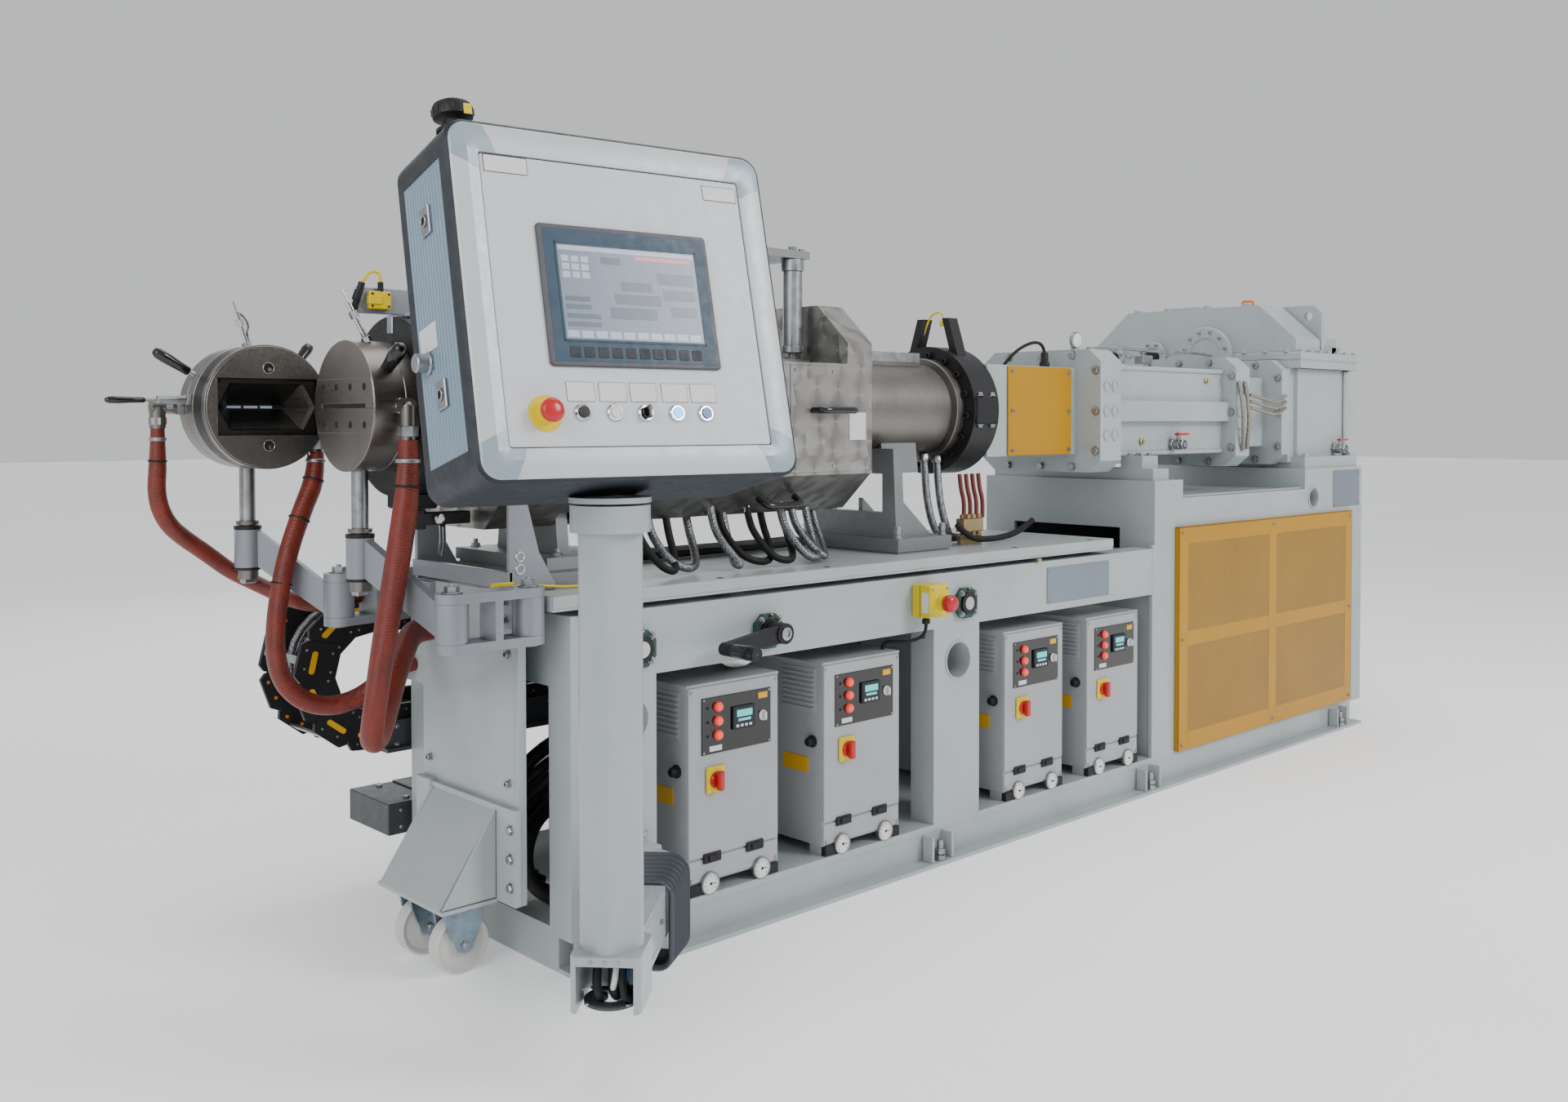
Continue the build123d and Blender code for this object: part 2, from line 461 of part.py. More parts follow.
# hoses and the stop box's cable ---------------------------------------------
def cord_tube(name, pts, d):
    v = [Vector(*q) for q in pts]
    runs = [(b - a) for a, b in zip(v, v[1:])]
    radii = []
    for a, b in zip(runs, runs[1:]):
        half = math.radians(a.get_angle(b)) / 2
        radii.append(0.45 * min(a.length, b.length) / math.tan(half))
    path = FilletPolyline(*pts, radius=radii)
    tube = sweep(Plane(origin=pts[0], z_dir=runs[0]) * Circle(d / 2), path=path)
    print(name, "length %.0f" % path.length, "radii", [round(r) for r in radii],
          "volume ratio %.3f" % (tube.volume / (math.pi * d * d / 4 * path.length)))
    node(name, tube)


cord_tube("hose_a", [(-564, 700, 1138), (-564, 700, 1068), (-568, 706, 992), (-543, 713, 934), (-500, 722, 896), (-452, 732, 862),
                     (-400, 738, 820), (-342, 712, 784), (-296, 678, 754), (-252, 642, 739), (-210, 606, 746),
                     (-168, 584, 760)], 36)
cord_tube("hose_b", [(-262, 604, 1086), (-262, 604, 1030), (-296, 598, 960), (-330, 592, 872), (-356, 587, 772), (-368, 582, 672),
                     (-359, 576, 595), (-320, 569, 545), (-262, 560, 522), (-203, 547, 530), (-154, 532, 562),
                     (-112, 523, 600), (-73, 523, 600)], 44)
cord_tube("hose_c", [(-282, 142, 1116), (-282, 142, 1024), (-298, 142, 924), (-314, 145, 826), (-330, 148, 731), (-345, 150, 640),
                     (-355, 153, 575), (-350, 172, 528), (-322, 205, 522), (-286, 240, 560), (-240, 290, 618),
                     (-190, 346, 660), (-148, 400, 684), (-112, 432, 689), (-73, 432, 689)], 52)
cord_tube("stop_box_cable", [(1062, -32, 634), (1062, -32, 616), (1054, -25, 600), (1040, -8, 590), (1018, 14, 586),
                             (998, 36, 588), (984, 48, 582), (984, 48, 566)], 9)


# export ---------------------------------------------------------------------
os.makedirs("parts", exist_ok=True)
shift = Pos(-XC, -YC, 0)
for name, solids in nodes.items():
    out = []
    for s in solids:
        m = shift * s
        out.extend(m.solids())
    shape = out[0] if len(out) == 1 else Compound(children=out)
    export_step(shape, "parts/%s.step" % name)
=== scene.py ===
import bpy, bmesh, math, random
from mathutils import Vector, Matrix


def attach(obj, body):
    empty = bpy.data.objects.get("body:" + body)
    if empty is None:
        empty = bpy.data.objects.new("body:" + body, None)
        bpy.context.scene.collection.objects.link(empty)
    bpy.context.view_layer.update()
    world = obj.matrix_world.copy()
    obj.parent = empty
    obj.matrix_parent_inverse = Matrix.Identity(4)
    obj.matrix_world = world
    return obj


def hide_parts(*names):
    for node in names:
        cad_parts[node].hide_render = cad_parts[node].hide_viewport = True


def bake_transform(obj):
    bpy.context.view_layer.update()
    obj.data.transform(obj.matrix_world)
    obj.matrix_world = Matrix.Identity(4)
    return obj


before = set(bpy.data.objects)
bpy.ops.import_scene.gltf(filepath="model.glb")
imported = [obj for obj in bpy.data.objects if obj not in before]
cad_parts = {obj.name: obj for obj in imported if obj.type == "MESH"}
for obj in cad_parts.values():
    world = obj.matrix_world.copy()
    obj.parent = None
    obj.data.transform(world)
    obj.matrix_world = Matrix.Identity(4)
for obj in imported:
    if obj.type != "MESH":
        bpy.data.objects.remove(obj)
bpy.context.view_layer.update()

random.seed(7)

# ---------------------------------------------------------------------------
# Working sizes are in millimetres, X from the head end, Y from the operator
# side, Z up from the floor.  to_row() turns them into the row frame in metres.
# ---------------------------------------------------------------------------
XC, YC = 1780.0, 336.0
AX_Y, AX_Z = 303.6, 1184.0


def to_row(p):
    return Vector(((p[0] - XC) / 1000.0, (p[1] - YC) / 1000.0, p[2] / 1000.0))


# panel plane: x across, y into the housing, z up its face
PO = Vector((-346.6, -456.8, 1241.9))
PX = Vector((0.9929, -0.1191, 0.0))
PZ = Vector((0.02707, 0.22611, 0.97373))
PYV = PZ.cross(PX)
PNL = Matrix(((PX.x, PYV.x, PZ.x, PO.x), (PX.y, PYV.y, PZ.y, PO.y), (PX.z, PYV.z, PZ.z, PO.z), (0, 0, 0, 1)))

# camera ---------------------------------------------------------------------
cam_d = bpy.data.cameras.new("camera")
cam = bpy.data.objects.new("camera", cam_d)
bpy.context.scene.collection.objects.link(cam)
cam.location = to_row((-1607.7, -2380.3, 1154.3))
cam.rotation_euler = (math.pi / 2 - 0.0233, 0.0004, -0.7681)
cam_d.sensor_width = 36.0
cam_d.lens = 31.86
cam_d.shift_x = -0.01874
cam_d.shift_y = -0.0626
cam_d.clip_start = 0.05
cam_d.clip_end = 100
bpy.context.scene.camera = cam


# materials ------------------------------------------------------------------
def new_mat(name):
    m = bpy.data.materials.new(name)
    m.use_nodes = True
    nt = m.node_tree
    b = nt.nodes["Principled BSDF"]
    return m, nt, b


def nd(nt, t, **kw):
    n = nt.nodes.new(t)
    for k, v in kw.items():
        if k in n.inputs:
            n.inputs[k].default_value = v
        else:
            setattr(n, k, v)
    return n


def coord(nt, scale=(1, 1, 1), rot=(0, 0, 0)):
    tc = nt.nodes.new("ShaderNodeTexCoord")
    mp = nt.nodes.new("ShaderNodeMapping")
    mp.inputs["Scale"].default_value = scale
    mp.inputs["Rotation"].default_value = rot
    nt.links.new(tc.outputs["Object"], mp.inputs["Vector"])
    return mp.outputs["Vector"]


def ramp(nt, fac, stops):
    r = nt.nodes.new("ShaderNodeValToRGB")
    e = r.color_ramp.elements
    while len(e) < len(stops):
        e.new(0.5)
    for i, (p, c) in enumerate(stops):
        e[i].position = p
        e[i].color = (c[0], c[1], c[2], 1) if hasattr(c, "__len__") else (c, c, c, 1)
    nt.links.new(fac, r.inputs["Fac"])
    return r.outputs["Color"]


def mul(c, k):
    return tuple(min(1.0, x * k) for x in c)


def paint(name, col, rough=0.38, metal=0.0, var=0.06, bump=0.04, bscale=900, coat=0.0, dirt=0.10):
    """Sprayed paint with orange peel, slight tone drift and dust in the low-lying tones."""
    m, nt, b = new_mat(name)
    col = mul(col, 0.74)
    b.inputs["Specular IOR Level"].default_value = 0.34
    v = coord(nt)
    n1 = nd(nt, "ShaderNodeTexNoise", Scale=3.0, Detail=6.0, Roughness=0.62)
    nt.links.new(v, n1.inputs["Vector"])
    c = ramp(nt, n1.outputs["Fac"], [(0.30, mul(col, 1 - var - dirt * 0.4)), (0.50, col), (0.72, mul(col, 1 + var))])
    n2 = nd(nt, "ShaderNodeTexNoise", Scale=38.0, Detail=5.0, Roughness=0.7)
    nt.links.new(v, n2.inputs["Vector"])
    d = ramp(nt, n2.outputs["Fac"], [(0.55, (0, 0, 0)), (0.85, (1, 1, 1))])
    mx = nt.nodes.new("ShaderNodeMix")
    mx.data_type = "RGBA"
    nt.links.new(c, mx.inputs[6])
    mx.inputs[7].default_value = (*mul(col, 0.62), 1)
    mth = nd(nt, "ShaderNodeMath", operation="MULTIPLY")
    nt.links.new(d, mth.inputs[0])
    mth.inputs[1].default_value = dirt * 2.0
    nt.links.new(mth.outputs[0], mx.inputs[0])
    nt.links.new(mx.outputs[2], b.inputs["Base Color"])
    rr = ramp(nt, n2.outputs["Fac"], [(0.3, rough * 0.85), (0.7, min(1, rough * 1.25))])
    nt.links.new(rr, b.inputs["Roughness"])
    n3 = nd(nt, "ShaderNodeTexNoise", Scale=float(bscale), Detail=2.0)
    nt.links.new(v, n3.inputs["Vector"])
    bp = nd(nt, "ShaderNodeBump", Strength=bump, Distance=0.001)
    nt.links.new(n3.outputs["Fac"], bp.inputs["Height"])
    nt.links.new(bp.outputs["Normal"], b.inputs["Normal"])
    b.inputs["Metallic"].default_value = metal
    b.inputs["Coat Weight"].default_value = coat
    return m


def brushed(name, col, rough=0.34, stretch=(1, 1, 60), var=0.16, bump=0.06, metal=1.0):
    """Ground or turned steel: streaks along the stretched axis and soft stains."""
    m, nt, b = new_mat(name)
    col = mul(col, 0.84)
    v = coord(nt, scale=stretch)
    n1 = nd(nt, "ShaderNodeTexNoise", Scale=14.0, Detail=8.0, Roughness=0.7)
    nt.links.new(v, n1.inputs["Vector"])
    v2 = coord(nt)
    n2 = nd(nt, "ShaderNodeTexNoise", Scale=7.0, Detail=5.0, Roughness=0.6)
    nt.links.new(v2, n2.inputs["Vector"])
    c1 = ramp(nt, n1.outputs["Fac"], [(0.3, mul(col, 1 - var)), (0.7, mul(col, 1 + var))])
    c2 = ramp(nt, n2.outputs["Fac"], [(0.3, (0.78, 0.76, 0.74)), (0.65, (1, 1, 1))])
    mx = nt.nodes.new("ShaderNodeMix")
    mx.data_type = "RGBA"
    mx.blend_type = "MULTIPLY"
    mx.inputs[0].default_value = 0.8
    nt.links.new(c1, mx.inputs[6])
    nt.links.new(c2, mx.inputs[7])
    nt.links.new(mx.outputs[2], b.inputs["Base Color"])
    rr = ramp(nt, n1.outputs["Fac"], [(0.3, rough * 0.8), (0.7, rough * 1.3)])
    nt.links.new(rr, b.inputs["Roughness"])
    bp = nd(nt, "ShaderNodeBump", Strength=bump, Distance=0.0006)
    nt.links.new(n1.outputs["Fac"], bp.inputs["Height"])
    nt.links.new(bp.outputs["Normal"], b.inputs["Normal"])
    b.inputs["Metallic"].default_value = metal
    return m


def engine_turned(name, col):
    """Sheet steel finished with overlapping swirls."""
    m, nt, b = new_mat(name)
    v = coord(nt)
    vo = nd(nt, "ShaderNodeTexVoronoi", Scale=15.0, Randomness=0.62)
    nt.links.new(v, vo.inputs["Vector"])
    # rings about each swirl's centre
    w = nd(nt, "ShaderNodeMath", operation="MULTIPLY")
    nt.links.new(vo.outputs["Distance"], w.inputs[0])
    w.inputs[1].default_value = 70.0
    sn = nd(nt, "ShaderNodeMath", operation="SINE")
    nt.links.new(w.outputs[0], sn.inputs[0])
    # direction about the centre gives the fan of light and dark, a painted sheen standing in for the swirls' reflection
    sub = nd(nt, "ShaderNodeVectorMath", operation="SUBTRACT")
    nt.links.new(v, sub.inputs[0])
    nt.links.new(vo.outputs["Position"], sub.inputs[1])
    sep = nt.nodes.new("ShaderNodeSeparateXYZ")
    nt.links.new(sub.outputs[0], sep.inputs[0])
    ax = nd(nt, "ShaderNodeMath", operation="ADD")
    nt.links.new(sep.outputs["X"], ax.inputs[0])
    nt.links.new(sep.outputs["Y"], ax.inputs[1])
    at = nd(nt, "ShaderNodeMath", operation="ARCTAN2")
    nt.links.new(sep.outputs["Z"], at.inputs[0])
    nt.links.new(ax.outputs[0], at.inputs[1])
    t2 = nd(nt, "ShaderNodeMath", operation="MULTIPLY")
    nt.links.new(at.outputs[0], t2.inputs[0])
    t2.inputs[1].default_value = 2.0
    cs = nd(nt, "ShaderNodeMath", operation="COSINE")
    nt.links.new(t2.outputs[0], cs.inputs[0])
    mr = nd(nt, "ShaderNodeMapRange")
    mr.inputs["From Min"].default_value = -1.0
    nt.links.new(cs.outputs[0], mr.inputs["Value"])
    # painted sheen: the fans of light and dark go into the base colour
    c1 = ramp(nt, mr.outputs[0], [(0.0, mul(col, 0.54)), (0.5, mul(col, 0.80)), (1.0, mul(col, 1.12))])
    c2 = ramp(nt, vo.outputs["Color"], [(0.0, (0.80, 0.78, 0.76)), (1.0, (1, 1, 1))])
    mx = nt.nodes.new("ShaderNodeMix")
    mx.data_type = "RGBA"
    mx.blend_type = "MULTIPLY"
    mx.inputs[0].default_value = 0.9
    nt.links.new(c1, mx.inputs[6])
    nt.links.new(c2, mx.inputs[7])
    nt.links.new(mx.outputs[2], b.inputs["Base Color"])
    rr = ramp(nt, mr.outputs[0], [(0.0, 0.46), (1.0, 0.28)])
    nt.links.new(rr, b.inputs["Roughness"])
    bp = nd(nt, "ShaderNodeBump", Strength=0.10, Distance=0.0008)
    nt.links.new(sn.outputs[0], bp.inputs["Height"])
    nt.links.new(bp.outputs["Normal"], b.inputs["Normal"])
    b.inputs["Metallic"].default_value = 1.0
    return m


def perforated(name, col, pitch=0.0105, hole=0.30, plane="XZ", dark=(0.10, 0.065, 0.004)):
    """Punched sheet: staggered round holes as dark dots of painted shade in the paint."""
    m, nt, b = new_mat(name)
    tc = nt.nodes.new("ShaderNodeTexCoord")
    sep = nt.nodes.new("ShaderNodeSeparateXYZ")
    nt.links.new(tc.outputs["Object"], sep.inputs[0])
    a, c = sep.outputs[plane[0]], sep.outputs[plane[1]]

    def mm(op, x, y=None):
        n = nd(nt, "ShaderNodeMath", operation=op)
        for i, q in enumerate((x, y)):
            if q is None:
                continue
            if hasattr(q, "links"):
                nt.links.new(q, n.inputs[i])
            else:
                n.inputs[i].default_value = q
        return n.outputs[0]
    u = mm("ADD", a, c)
    w = mm("SUBTRACT", a, c)
    outs = []
    for q in (u, w):
        f = mm("PINGPONG", mm("ADD", q, 20.0), pitch / 2)
        outs.append(mm("DIVIDE", f, pitch / 2))
    r = mm("SQRT", mm("ADD", mm("POWER", outs[0], 2.0), mm("POWER", outs[1], 2.0)))
    # hole colour: painted shade seen through each hole
    cr = ramp(nt, r, [(hole + 0.18, dark), (hole + 0.24, col)])
    n1 = nd(nt, "ShaderNodeTexNoise", Scale=5.0, Detail=5.0)
    nt.links.new(tc.outputs["Object"], n1.inputs["Vector"])
    t = ramp(nt, n1.outputs["Fac"], [(0.3, (0.86, 0.86, 0.86)), (0.7, (1, 1, 1))])
    mx = nt.nodes.new("ShaderNodeMix")
    mx.data_type = "RGBA"
    mx.blend_type = "MULTIPLY"
    mx.inputs[0].default_value = 1.0
    nt.links.new(cr, mx.inputs[6])
    nt.links.new(t, mx.inputs[7])
    nt.links.new(mx.outputs[2], b.inputs["Base Color"])
    h = ramp(nt, r, [(hole + 0.12, 0.0), (hole + 0.28, 1.0)])
    bp = nd(nt, "ShaderNodeBump", Strength=0.8, Distance=0.002)
    nt.links.new(h, bp.inputs["Height"])
    nt.links.new(bp.outputs["Normal"], b.inputs["Normal"])
    b.inputs["Roughness"].default_value = 0.42
    return m


def sleeve(name, col, scale=(1, 1, 1)):
    """Silicone-coated glass sleeve: fine diagonal weave, worn patches, gloss."""
    m, nt, b = new_mat(name)
    v = coord(nt)
    n1 = nd(nt, "ShaderNodeTexNoise", Scale=22.0, Detail=6.0, Roughness=0.65)
    nt.links.new(v, n1.inputs["Vector"])
    c = ramp(nt, n1.outputs["Fac"], [(0.28, mul(col, 0.62)), (0.5, col), (0.75, mul(col, 1.45))])
    nt.links.new(c, b.inputs["Base Color"])
    w1 = nd(nt, "ShaderNodeTexWave", Scale=95.0, Distortion=1.2)
    w1.bands_direction = "DIAGONAL"
    nt.links.new(v, w1.inputs["Vector"])
    v3 = coord(nt, rot=(0.9, 0.6, 1.9))
    w2 = nd(nt, "ShaderNodeTexWave", Scale=95.0, Distortion=1.2)
    nt.links.new(v3, w2.inputs["Vector"])
    ad = nd(nt, "ShaderNodeMath", operation="MULTIPLY")
    nt.links.new(w1.outputs["Fac"], ad.inputs[0])
    nt.links.new(w2.outputs["Fac"], ad.inputs[1])
    bp = nd(nt, "ShaderNodeBump", Strength=0.55, Distance=0.0012)
    nt.links.new(ad.outputs[0], bp.inputs["Height"])
    bp2 = nd(nt, "ShaderNodeBump", Strength=0.5, Distance=0.004)
    nt.links.new(n1.outputs["Fac"], bp2.inputs["Height"])
    nt.links.new(bp.outputs["Normal"], bp2.inputs["Normal"])
    nt.links.new(bp2.outputs["Normal"], b.inputs["Normal"])
    rr = ramp(nt, n1.outputs["Fac"], [(0.3, 0.30), (0.7, 0.48)])
    nt.links.new(rr, b.inputs["Roughness"])
    return m


def braid(name, col, scale=260.0, metal=1.0):
    m, nt, b = new_mat(name)
    v = coord(nt)
    ch = nd(nt, "ShaderNodeTexVoronoi", Scale=scale, Randomness=0.25)
    nt.links.new(v, ch.inputs["Vector"])
    # strand centres lighter and cell edges darker: painted highlight on each strand and painted shade in the gaps
    # between them
    c = ramp(nt, ch.outputs["Distance"], [(0.1, mul(col, 1.25)), (0.6, mul(col, 0.30))])
    nt.links.new(c, b.inputs["Base Color"])
    bp = nd(nt, "ShaderNodeBump", Strength=0.9, Distance=0.0015)
    bp.invert = True
    nt.links.new(ch.outputs["Distance"], bp.inputs["Height"])
    nt.links.new(bp.outputs["Normal"], b.inputs["Normal"])
    b.inputs["Metallic"].default_value = metal
    b.inputs["Roughness"].default_value = 0.36
    return m


def glow(name, col, strength):
    m, nt, b = new_mat(name)
    v = coord(nt)
    n = nd(nt, "ShaderNodeTexNoise", Scale=60.0, Detail=2.0)
    nt.links.new(v, n.inputs["Vector"])
    c = ramp(nt, n.outputs["Fac"], [(0.3, mul(col, 0.85)), (0.7, col)])
    nt.links.new(c, b.inputs["Base Color"])
    b.inputs["Emission Color"].default_value = (*col, 1)
    b.inputs["Emission Strength"].default_value = strength
    b.inputs["Roughness"].default_value = 0.25
    return m


FRAME = paint("frame_paint", (0.50, 0.555, 0.565), rough=0.33, coat=0.15)
GEAR = paint("gear_paint", (0.50, 0.56, 0.57), rough=0.27, coat=0.3, bump=0.10, bscale=160)
CARR = paint("carrier_paint", (0.36, 0.385, 0.42), rough=0.36, metal=0.35, bump=0.10, bscale=300)
FOOT = paint("foot_paint", (0.29, 0.30, 0.31), rough=0.42, metal=0.45, bump=0.12, bscale=240)
CAB = paint("cabinet_paint", (0.49, 0.505, 0.525), rough=0.44, bump=0.25, bscale=1400)
YEL = paint("guard_yellow", (0.58, 0.285, 0.0), rough=0.34, dirt=0.03)
PERF = perforated("guard_perforated", (0.40, 0.195, 0.0), pitch=0.0125, hole=0.36)
PERFG = perforated("cabinet_grille", (0.38, 0.39, 0.40), pitch=0.016, hole=0.42, plane="YZ", dark=(0.02, 0.02, 0.02))
STEEL = brushed("head_steel", (0.27, 0.25, 0.23), rough=0.36, stretch=(1, 30, 30), var=0.12)
STEELF = brushed("face_steel", (0.31, 0.29, 0.27), rough=0.34, stretch=(14, 14, 14), var=0.10)
# brushed steel darkened as painted shade, for the strainer funnel, its shelf floor and the die hole rims
SHADED_STEEL = brushed("steel_with_recess_shade", (0.085, 0.08, 0.075), rough=0.38, stretch=(2, 2, 30), var=0.25)
BARREL = brushed("barrel_steel", (0.27, 0.255, 0.24), rough=0.40, stretch=(60, 1, 1), var=0.14)
BRIGHT = brushed("bright_steel", (0.62, 0.62, 0.62), rough=0.2, stretch=(1, 1, 30), var=0.08, bump=0.02)
CHROME = brushed("chrome", (0.75, 0.76, 0.78), rough=0.12, stretch=(1, 1, 1), var=0.04, bump=0.01)
ZINC = brushed("zinc", (0.44, 0.46, 0.48), rough=0.34, stretch=(2, 2, 2), var=0.22, bump=0.05)
ZINCB = brushed("zinc_blue", (0.34, 0.43, 0.52), rough=0.3, stretch=(2, 2, 2), var=0.25, bump=0.05)
COVER = engine_turned("cover_sheet", (0.43, 0.42, 0.40))
BLACK = paint("black_metal", (0.014, 0.014, 0.016), rough=0.42, bump=0.15, bscale=300, dirt=0.02)
BLACKP = paint("black_plastic", (0.014, 0.014, 0.016), rough=0.48, bump=0.12, bscale=700, dirt=0.02)
RUBBER = paint("black_rubber", (0.012, 0.012, 0.013), rough=0.6, bump=0.2, bscale=500, dirt=0.02)
GRIP = paint("grip_gloss", (0.008, 0.008, 0.009), rough=0.16, bump=0.02, coat=0.5, dirt=0.0)
GREEN = paint("bearing_green", (0.035, 0.10, 0.085), rough=0.4, bump=0.3, bscale=200)
SLATE = paint("slate_trim", (0.020, 0.026, 0.036), rough=0.46, bump=0.1, bscale=600, dirt=0.03)
ALUB = paint("panel_blue_grey", (0.27, 0.38, 0.48), rough=0.34, metal=0.35, dirt=0.02)
CAPG = paint("panel_corner", (0.40, 0.49, 0.54), rough=0.34, metal=0.2, dirt=0.02)
FRAMEG = paint("panel_frame", (0.70, 0.73, 0.76), rough=0.36, metal=0.1, dirt=0.02)
DOOR = paint("panel_door", (0.76, 0.78, 0.81), rough=0.38, var=0.02, dirt=0.02)
POST = paint("post_paint", (0.47, 0.525, 0.545), rough=0.30, coat=0.25, dirt=0.04)
RIMG = paint("bezel_rim", (0.085, 0.085, 0.10), rough=0.4, dirt=0.0)
STRAP = braid("strap_braid", (0.50, 0.47, 0.40), scale=420.0, metal=0.35)
BEZEL = paint("bezel_grey", (0.018, 0.060, 0.105), rough=0.38, bump=0.05, bscale=900, dirt=0.0)
SCREEN = glow("screen_glass", (0.15, 0.19, 0.25), 0.14)
SCRB = glow("screen_block", (0.07, 0.10, 0.15), 0.08)
SCRL = glow("screen_light", (0.36, 0.42, 0.50), 0.25)
SCRR = glow("screen_red", (0.55, 0.22, 0.22), 0.15)
RED = paint("red_plastic", (0.66, 0.014, 0.018), rough=0.28, coat=0.3, dirt=0.0, var=0.04)
LAMP = glow("lamp_red", (0.85, 0.07, 0.04), 0.55)
BLUE = paint("blue_plastic", (0.015, 0.13, 0.42), rough=0.28, coat=0.3, dirt=0.0)
BLUEL = glow("lamp_blue", (0.10, 0.45, 1.0), 2.2)
TEAL = glow("digits_teal", (0.10, 0.55, 0.55), 0.5)
YELP = paint("yellow_plastic", (0.98, 0.74, 0.0), rough=0.32, dirt=0.0)
ORANGE = paint("orange_plastic", (0.85, 0.22, 0.015), rough=0.35, dirt=0.0)
AMBER = paint("amber_plastic", (1.0, 0.52, 0.01), rough=0.4, dirt=0.0)
BRASS = brushed("brass", (0.56, 0.43, 0.22), rough=0.32, stretch=(3, 3, 3), var=0.15)
WHITE = paint("white_nylon", (0.78, 0.78, 0.74), rough=0.42, bump=0.05, dirt=0.12)
LABEL = paint("plate_white", (0.86, 0.87, 0.89), rough=0.4, dirt=0.0, var=0.02)
LABELG = paint("plate_grey", (0.30, 0.35, 0.42), rough=0.35, metal=0.5, dirt=0.0)
DARK = paint("deep_shadow", (0.012, 0.012, 0.013), rough=0.8, dirt=0.0)
DGREY = paint("dark_grey_metal", (0.085, 0.095, 0.10), rough=0.42, metal=0.3, dirt=0.04)
HOSE = sleeve("hose_sleeve", (0.150, 0.013, 0.004))
BRAID = braid("braided_steel", (0.42, 0.43, 0.45))
DIAL = paint("dial_face", (0.98, 0.98, 0.96), rough=0.3, dirt=0.0, var=0.01)

node_mats = {
    "sills": FRAME, "cross_sills": FRAME, "deck_plate": FRAME, "pillars": FRAME, "upper_beams": FRAME,
    "drive_box_front": FRAME, "drive_box_rear": FRAME, "drive_box_ends": FRAME, "drive_box_lid": FRAME,
    # side_guards take the deep_shadow black: a dark sheet of painted shade
    "side_guards": DARK, "temperature_units": CAB, "roller_shafts": BRIGHT, "drive_roller": BRIGHT,
    "flange_bearings": GREEN, "hand_crank": BLACKP, "stop_box": YELP, "stop_box_cable": RUBBER,
    "sliding_table": FRAME, "column": FRAME, "caster_bracket": FRAME, "caster_wheel_near": WHITE, "caster_wheel_far": WHITE,
    "barrel": BARREL, "barrel_feet": FOOT, "front_clamp_ring": BLACK, "rear_clamp_ring": BLACK, "barrel_cover": COVER,
    "feed_hood": COVER, "feed_roller_drive": FOOT, "carrier_knuckles": CARR, "near_link": CARR, "near_arm": CARR,
    "far_link": CARR, "far_arm": CARR, "die_head": STEEL, "strainer_head": STEEL, "screw": BRIGHT,
    "thrust_housing": GEAR, "drive_flanges": GEAR, "coupling_housing": GEAR, "adapter_neck": GEAR, "gearbox_body": GEAR,
    "gearbox_cover": GEAR, "shaft_end_cover": GEAR, "drain_valves": ZINC, "valve_handle_1": RED, "valve_handle_2": RED,
    "arm_hinge_bracket": FRAME, "panel_arm": POST, "panel_post": POST, "arm_bellows": RUBBER, "panel_enclosure": ALUB,
    "panel_screen": BEZEL, "panel_beacon": BLACKP, "energy_chain": BLACKP, "cable_trough": DGREY,
    "hose_a": HOSE, "hose_b": HOSE, "hose_c": HOSE,
}
for n, m in node_mats.items():
    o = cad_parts[n]
    o.data.materials.clear()
    o.data.materials.append(m)


# mesh building --------------------------------------------------------------
def basis(n):
    n = Vector(n).normalized()
    a = Vector((0, 0, 1)) if abs(n.z) < 0.9 else Vector((1, 0, 0))
    u = a.cross(n).normalized()
    return u, n.cross(u), n


